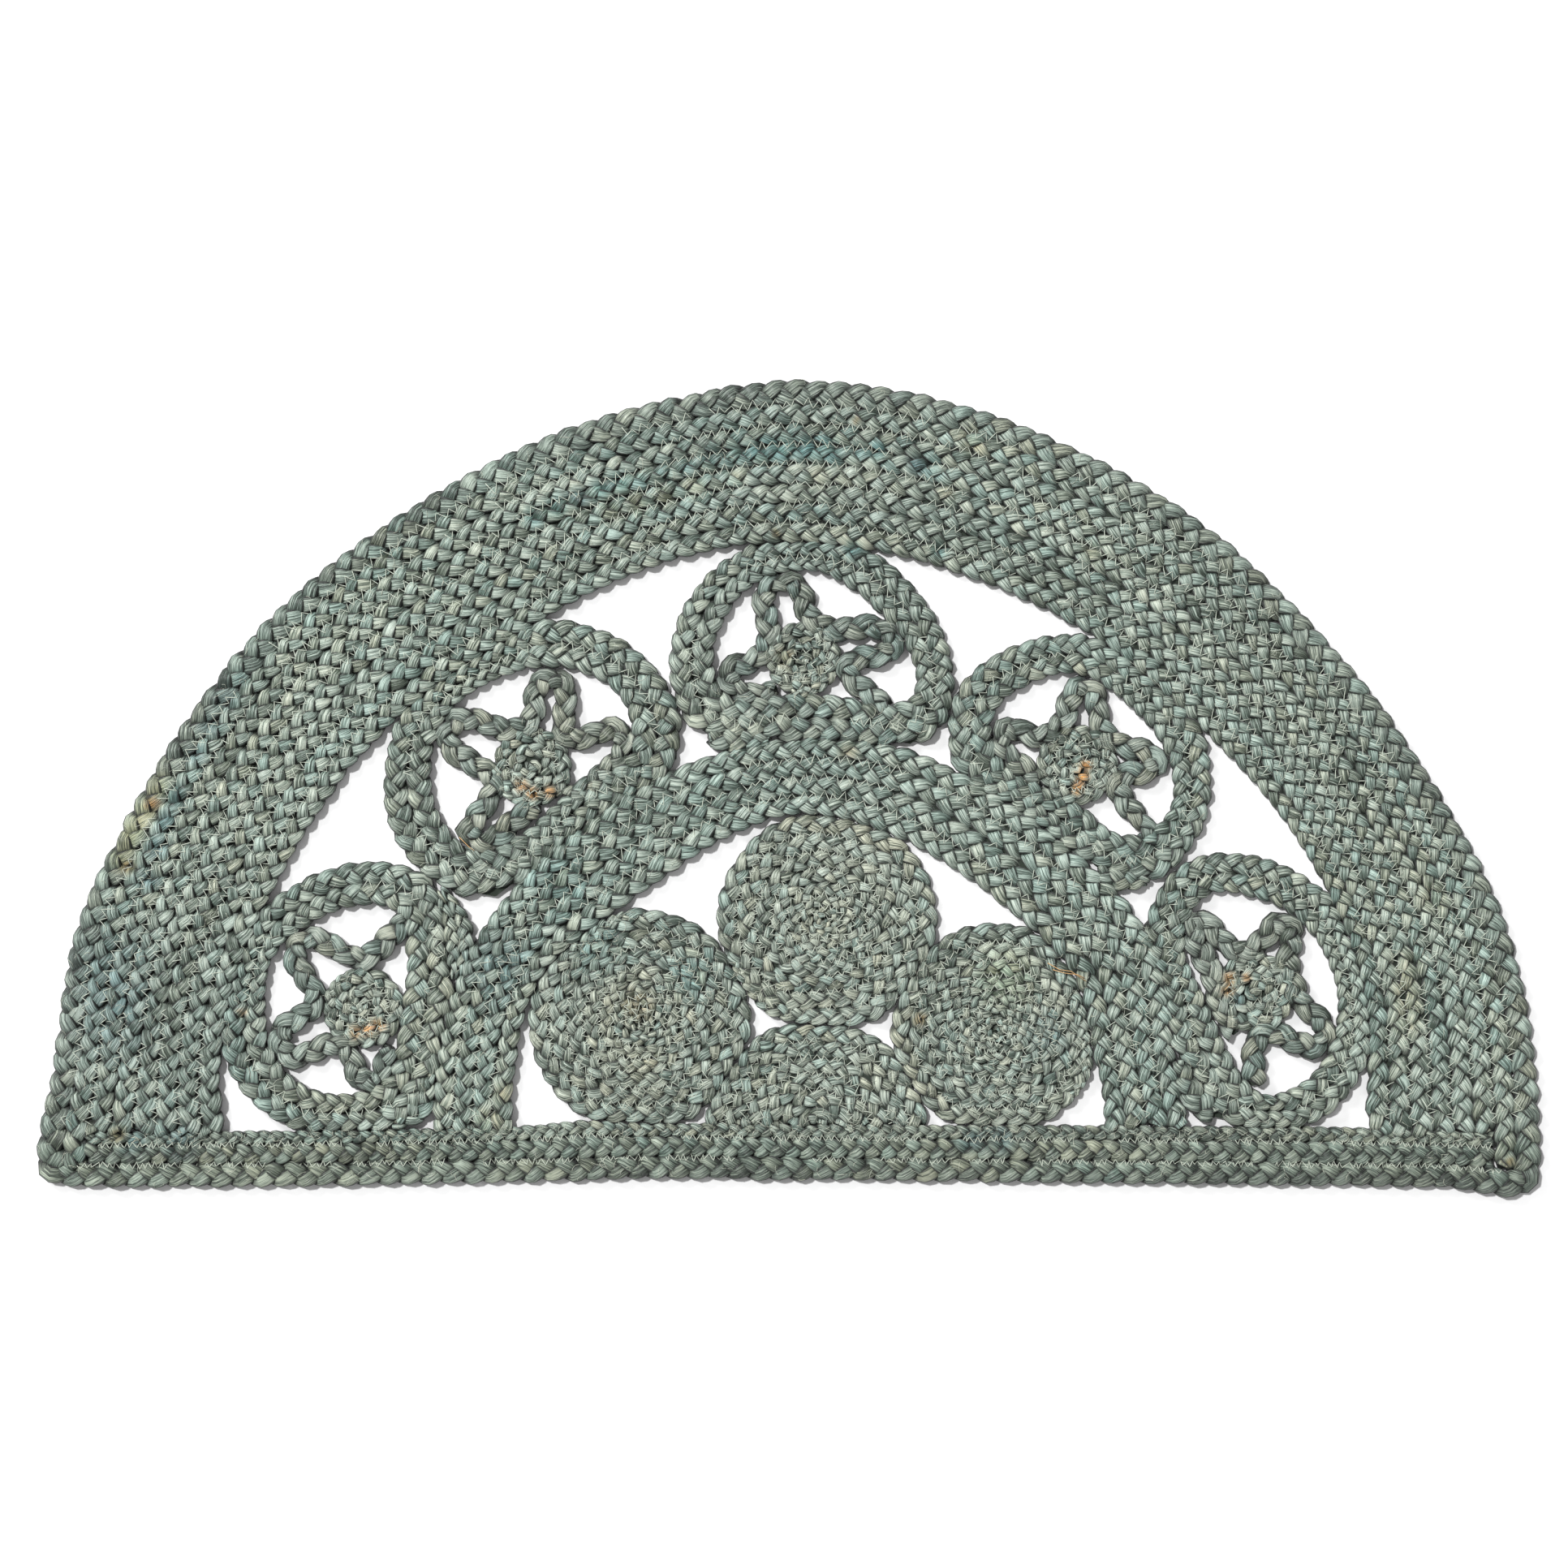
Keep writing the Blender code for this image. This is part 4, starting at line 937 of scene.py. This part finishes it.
def half_width_edges(line):
    """The two edges of a row, from its middle line and its widths."""
    left = unit(np.stack([-np.gradient(line.points[:, 1]), np.gradient(line.points[:, 0])], axis=1))
    half = line.widths[:, None] / 2
    return np.stack([line.points - left * half, line.points + left * half], axis=1)


def at_height(points, z):
    """Points of the floor plan at one height."""
    return np.column_stack([points, np.full(len(points), z)])


def plain_fibre(name, dark, pale, roughness, patch, length=MAT_LENGTH, detail=3.0, sheen=0.0,
                spread=(0, 1)):
    """Fibre of one kind with darker and paler patches, their size in millimetres.

    The pattern spans the piece, so its scale is the piece's length over the size of a patch.
    """
    material, shader = new_material(name, {"Roughness": roughness, "Sheen Weight": sheen})
    noise = add_node(material, "ShaderNodeTexNoise", Scale=1000 * length / patch, Detail=detail)
    ramp = add_node(material, "ShaderNodeValToRGB", {"Fac": noise.outputs["Fac"]})
    for stop, position, colour in zip(ramp.color_ramp.elements, spread, (dark, pale)):
        stop.position = position
        stop.color = (*linear(colour), 1)
    material.node_tree.links.new(ramp.outputs["Color"], shader.inputs["Base Color"])
    return material


bands = [(outer_edges, False), (inner_edges, False), (band_edges, False), (edge_loop, True)]
bands += [(edges, True) for edges in ring_bands]
bands += [(half_width_edges(line), False) for line in spoke_rows]
core_points, core_quads, core_ends, core_base = [], [], [], 0
for edges, closed in bands:
    inner, outer = drawn_in(edges, CORE_INSET, CORE_INSET).transpose(1, 0, 2)
    corners = np.stack([at_height(inner, CORE_LOW), at_height(outer, CORE_LOW),
                        at_height(outer, CORE_HIGH), at_height(inner, CORE_HIGH)], axis=1)
    index, quads = skin(core_base, len(corners), 4, closed)
    core_points.append(corners.reshape(-1, 3))
    core_quads.append(quads)
    if not closed:
        core_ends += [index[0], index[-1][::-1]]
    core_base += 4 * len(corners)
core_angles = np.arange(0, 360, CORE_STEP)
core_rays = np.array([turned(angle) for angle in core_angles])
for node, centre in round_middles.items():
    reaches = np.maximum(reach_round(node, centre, core_angles) - CORE_INSET, LEAST_CORE)
    rim = centre + reaches[:, None] * core_rays
    index, quads = skin(core_base, 2, len(rim), False, (0, 3, 2, 1))
    core_points += [at_height(rim, CORE_LOW), at_height(rim, CORE_HIGH)]
    core_quads.append(quads)
    core_ends += [index[0][::-1], index[1]]
    core_base += 2 * len(rim)
# Near-black painted shade for the gaps between the strands: quite matt, with grains of about 1 mm.
near_black_core = plain_fibre("core_as_painted_shade", "#1A211A", "#3C463C", roughness=0.95, patch=1.0)
core = mesh_piece("shade_core", np.concatenate(core_points), np.concatenate(core_quads), core_ends,
                  near_black_core)
core.data.polygons.foreach_set("use_smooth", np.zeros(len(core.data.polygons), bool))


# Sewing: a pale spun thread runs in zigzag over every seam between two rows, put in by machine, and
# pulls them together. It is drawn thicker than sewing thread, so that it shows.
ZIGZAG_SHARE = 0.256
ZIGZAG_HALF_SHARE = 0.215
ZIGZAG_LEAST = 0.006
STITCH_STRAY = 0.0007
SWING_STRAY = 0.30
THREAD_RADIUS = 0.00025
# Here and there the thread has sunk in and doesn't show.
SUNK = Stray(0.018, 1.0)
SUNK_BELOW = -0.6
# The thread lies on the braids at each corner of the zigzag, and is taut between them.
THREAD_REST = 0.0001
THREAD_CLEAR = 0.0003
TAUT = 0.75
BETWEEN = (0.35, 0.65)
LEAST_POINTS = 4
RAY_FROM = 0.03

tree_points = np.concatenate([strands.points for strands in all_strands])
tree_faces, first_point = [], 0
for strands in all_strands:
    tree_faces.append(strands.quads + first_point)
    first_point += len(strands.points)
surface = BVHTree.FromPolygons(tree_points.tolist(), np.concatenate(tree_faces).tolist())


def surface_height(x, y, otherwise=CORE_HIGH):
    """The height of the braids' surface at a place, or another value where there is none."""
    hit, normal, index, reach = surface.ray_cast(Vector((x, y, RAY_FROM)), Vector((0, 0, -1)))
    return otherwise if hit is None else hit.z


def thread_piece(name, paths, radius, sides, material):
    """Round threads along paths of points, closed at both ends, as one piece."""
    points, quads, ends = [], [], []
    base = 0
    around = np.arange(sides) / sides * 2 * math.pi
    for path in paths:
        heading = unit(np.gradient(path, axis=0), 1e-12)
        side = unit(np.cross(heading, (0, 0, 1.0)), 1e-12)
        up = np.cross(side, heading)
        ring = path[:, None, :] + radius * (side[:, None, :] * np.cos(around)[None, :, None]
                                            + up[:, None, :] * np.sin(around)[None, :, None])
        index, faces = skin(base, len(path), sides, False, (0, 3, 2, 1))
        points.append(ring.reshape(-1, 3))
        quads.append(faces)
        ends += [index[0][::-1], index[-1]]
        base += len(path) * sides
    return mesh_piece(name, np.concatenate(points), np.concatenate(quads), ends, material)


sewing_rng = np.random.default_rng(31)
seam_paths = []
for seam in all_seams:
    run = along(seam)
    whole = run.lengths[-1]
    wide = float(np.clip(np.mean(run.widths), ZIGZAG_LEAST, MOST_ROW))
    count = int(whole / (ZIGZAG_SHARE * wide))
    distances = (np.arange(count) + 0.5) / count * whole
    distances += sewing_rng.normal(0, STITCH_STRAY, count)
    swing = np.where(np.arange(count) % 2, 1, -1) * ZIGZAG_HALF_SHARE * wide
    swing = swing * (1 + sewing_rng.normal(0, SWING_STRAY, count))
    distances = np.clip(np.sort(distances), 0, whole)
    x, y, tx, ty, width = placed(run, distances)
    corners = np.stack([x - ty * swing, y + tx * swing], axis=1)
    seen = wander(distances, whole, SUNK, sewing_rng, False) > SUNK_BELOW
    path = []
    for a, b, shows in zip(corners, corners[1:], seen):
        if not shows:
            if len(path) >= LEAST_POINTS:
                seam_paths.append(np.array(path))
            path = []
            continue
        low, high = surface_height(*a), surface_height(*b)
        path.append((a[0], a[1], low + THREAD_REST))
        for share in BETWEEN:
            place = a + (b - a) * share
            taut = low + (high - low) * share
            under = surface_height(*place)
            held = taut * TAUT + under * (1 - TAUT)
            path.append((place[0], place[1], max(under + THREAD_CLEAR, held)))
    if len(path) >= LEAST_POINTS:
        seam_paths.append(np.array(path))
# Thread spun from pale fibre: a soft sheen, and slow changes of tone over 5 to 6 mm.
thread = plain_fibre("spun_sewing_thread", "#9CA899", "#DADFD0", roughness=0.6, patch=5.625,
                     sheen=0.2)
sewing = thread_piece("seam_stitches", seam_paths, THREAD_RADIUS, 4, thread)


# Loose fibres: short hairs of jute that work out of the yarn and lie over the braids, most of them
# along the rows, thickest on the coils and on the straight band. Real ones are finer than these.
FIBRE_RADIUS = 0.00014
HAIR_POINTS = 5
HAIR_LEAST = 0.35
HAIR_BEND = 0.35
HAIR_RAISED = (0.00005, 0.0004)
loose_rng = np.random.default_rng(41)


def loose_fibres(lines, per_metre, longest, spread):
    """Bent hairs over the rows: each starts somewhere on a row and drifts off it."""
    paths = []
    for line in lines:
        run = along(line)
        whole = run.lengths[-1]
        for start in loose_rng.uniform(0, whole, int(whole * per_metre)):
            x, y, tx, ty, wide = placed(run, start)
            off = loose_rng.uniform(-0.5, 0.5) * wide
            heading = math.atan2(ty, tx) + loose_rng.normal(0, spread)
            bend = loose_rng.normal(0, HAIR_BEND)
            length = loose_rng.uniform(HAIR_LEAST, 1.0) * longest
            spot = np.array((x - ty * off, y + tx * off))
            path = []
            for step in range(HAIR_POINTS):
                top = surface_height(spot[0], spot[1], -1)
                if top < 0:
                    break
                path.append((spot[0], spot[1], top + loose_rng.uniform(*HAIR_RAISED)))
                heading += bend
                ahead = np.array((math.cos(heading), math.sin(heading)))
                spot = spot + ahead * length / (HAIR_POINTS - 1)
            if len(path) > 2:
                paths.append(np.array(path))
    return paths


hair_paths = loose_fibres(outer_rows + inner_rows, per_metre=110, longest=0.009, spread=0.6)
hair_paths += loose_fibres(upper_row, per_metre=600, longest=0.007, spread=0.9)
hair_paths += loose_fibres(lower_row, per_metre=90, longest=0.007, spread=0.6)
hair_paths += loose_fibres(edge_rows + ring_rows + spoke_rows, per_metre=90, longest=0.009,
                           spread=0.6)
hair_paths += loose_fibres(disc_rows + half_rows + hub_rows, per_metre=400, longest=0.008,
                           spread=0.7)
# One pale thread stands off the right leg in an open loop, narrower than it is long.
LOOP_CENTRE = ARCH_CENTRE + (0.4035, 0.0445)
LOOP_RADIUS = 0.0055
LOOP_NARROW = (0.62, 1.0)
LOOP_HEIGHT = 0.0090
loop_angles = np.arange(150, -75, -15)
loop_path = [LOOP_CENTRE + turned(angle) * LOOP_RADIUS * LOOP_NARROW for angle in loop_angles]
hair_paths.append(np.array([(x, y, LOOP_HEIGHT) for x, y in loop_path]))
# Single bast fibres: slightly shiny, and from dyed grey-green to bare straw in places of 7 to 8 mm.
hair = plain_fibre("loose_jute_fibre", "#8F9B90", "#E2E3D0", roughness=0.5, patch=7.5, detail=2.0,
                   spread=(0.35, 0.65))
hairs = thread_piece("loose_fibres", hair_paths, FIBRE_RADIUS, 3, hair)


# Stray straws: three stiff undyed straws of jute were caught in the plaiting. They stick out
# between the right disc and the inner arch, and below the second wheel.
STRAW_RAISED = 0.0006
STRAWS_LENGTH = 0.375
# Their points from the arch centre, in millimetres.
STRAW_RUNS = (((148, 101), (155, 97), (162, 96), (171, 90)),
              ((151, 97), (158, 95), (166, 94), (170, 92)),
              ((-203, 176), (-200, 173), (-197, 170), (-194, 168)))
straw_paths = []
for run in STRAW_RUNS:
    spots = [ARCH_CENTRE + np.array(spot) / 1000 for spot in run]
    top = max(surface_height(*spot) for spot in spots) + STRAW_RAISED
    straw_paths.append(np.array([(x, y, top) for x, y in spots]))
# Bast that missed the dye: warm brown to blond, changing every millimetre or so.
straw = plain_fibre("undyed_jute_straw", "#A8794A", "#DDBB86", roughness=0.5, patch=1.25,
                    length=STRAWS_LENGTH, detail=2.0)
straws = thread_piece("stray_straws", straw_paths, THREAD_RADIUS, 5, straw)


# Studio: a plain pale floor, wide enough that its end stays out of sight in all but the lowest
# views, a soft box and a soft sun at the upper left, and an even white surround.
FLOOR_HALF = 80.0
SURROUND = 0.41
BOX_PLACE = Vector((-1.6, 1.7, 1.5))
BOX_SIZE = 0.9
BOX_POWER = 50
SUN_TOWARDS = Vector((0.42, -0.38, -1.00))
SUN_STRENGTH = 2.46
SUN_ANGLE = math.radians(5)

floor_mesh = bpy.data.meshes.new("floor")
floor_corners = [(x * FLOOR_HALF, y * FLOOR_HALF, 0) for x, y in ((-1, -1), (1, -1), (1, 1), (-1, 1))]
floor_mesh.from_pydata(floor_corners, [], [(0, 1, 2, 3)])
floor = bpy.data.objects.new("floor", floor_mesh)
bpy.context.scene.collection.objects.link(floor)
# Uncoated white paper: no gloss, so that it shows nothing but soft shadows.
paper, paper_shader = new_material("matt_white_paper", {
    "Base Color": (*linear("#F7F7F7"), 1), "Roughness": 0.9})
floor_mesh.materials.append(paper)

world = bpy.data.worlds.new("studio")
bpy.context.scene.world = world
world.use_nodes = True
world.node_tree.nodes["Background"].inputs["Color"].default_value = (*linear("#FFFFFF"), 1)
world.node_tree.nodes["Background"].inputs["Strength"].default_value = SURROUND


def studio_light(name, kind, power, place, towards, **settings):
    """A light at a place, aimed in a direction."""
    data = bpy.data.lights.new(name, kind)
    data.energy = power
    for setting, value in settings.items():
        setattr(data, setting, value)
    light = bpy.data.objects.new(name, data)
    light.location = place
    light.rotation_mode = "QUATERNION"
    light.rotation_quaternion = towards.to_track_quat("-Z", "Y")
    bpy.context.scene.collection.objects.link(light)


studio_light("key_light", "AREA", BOX_POWER, BOX_PLACE, -BOX_PLACE, shape="SQUARE", size=BOX_SIZE)
studio_light("even_key", "SUN", SUN_STRENGTH, (0, 0, 0), SUN_TOWARDS, angle=SUN_ANGLE)
bpy.context.scene.view_settings.view_transform = "Standard"
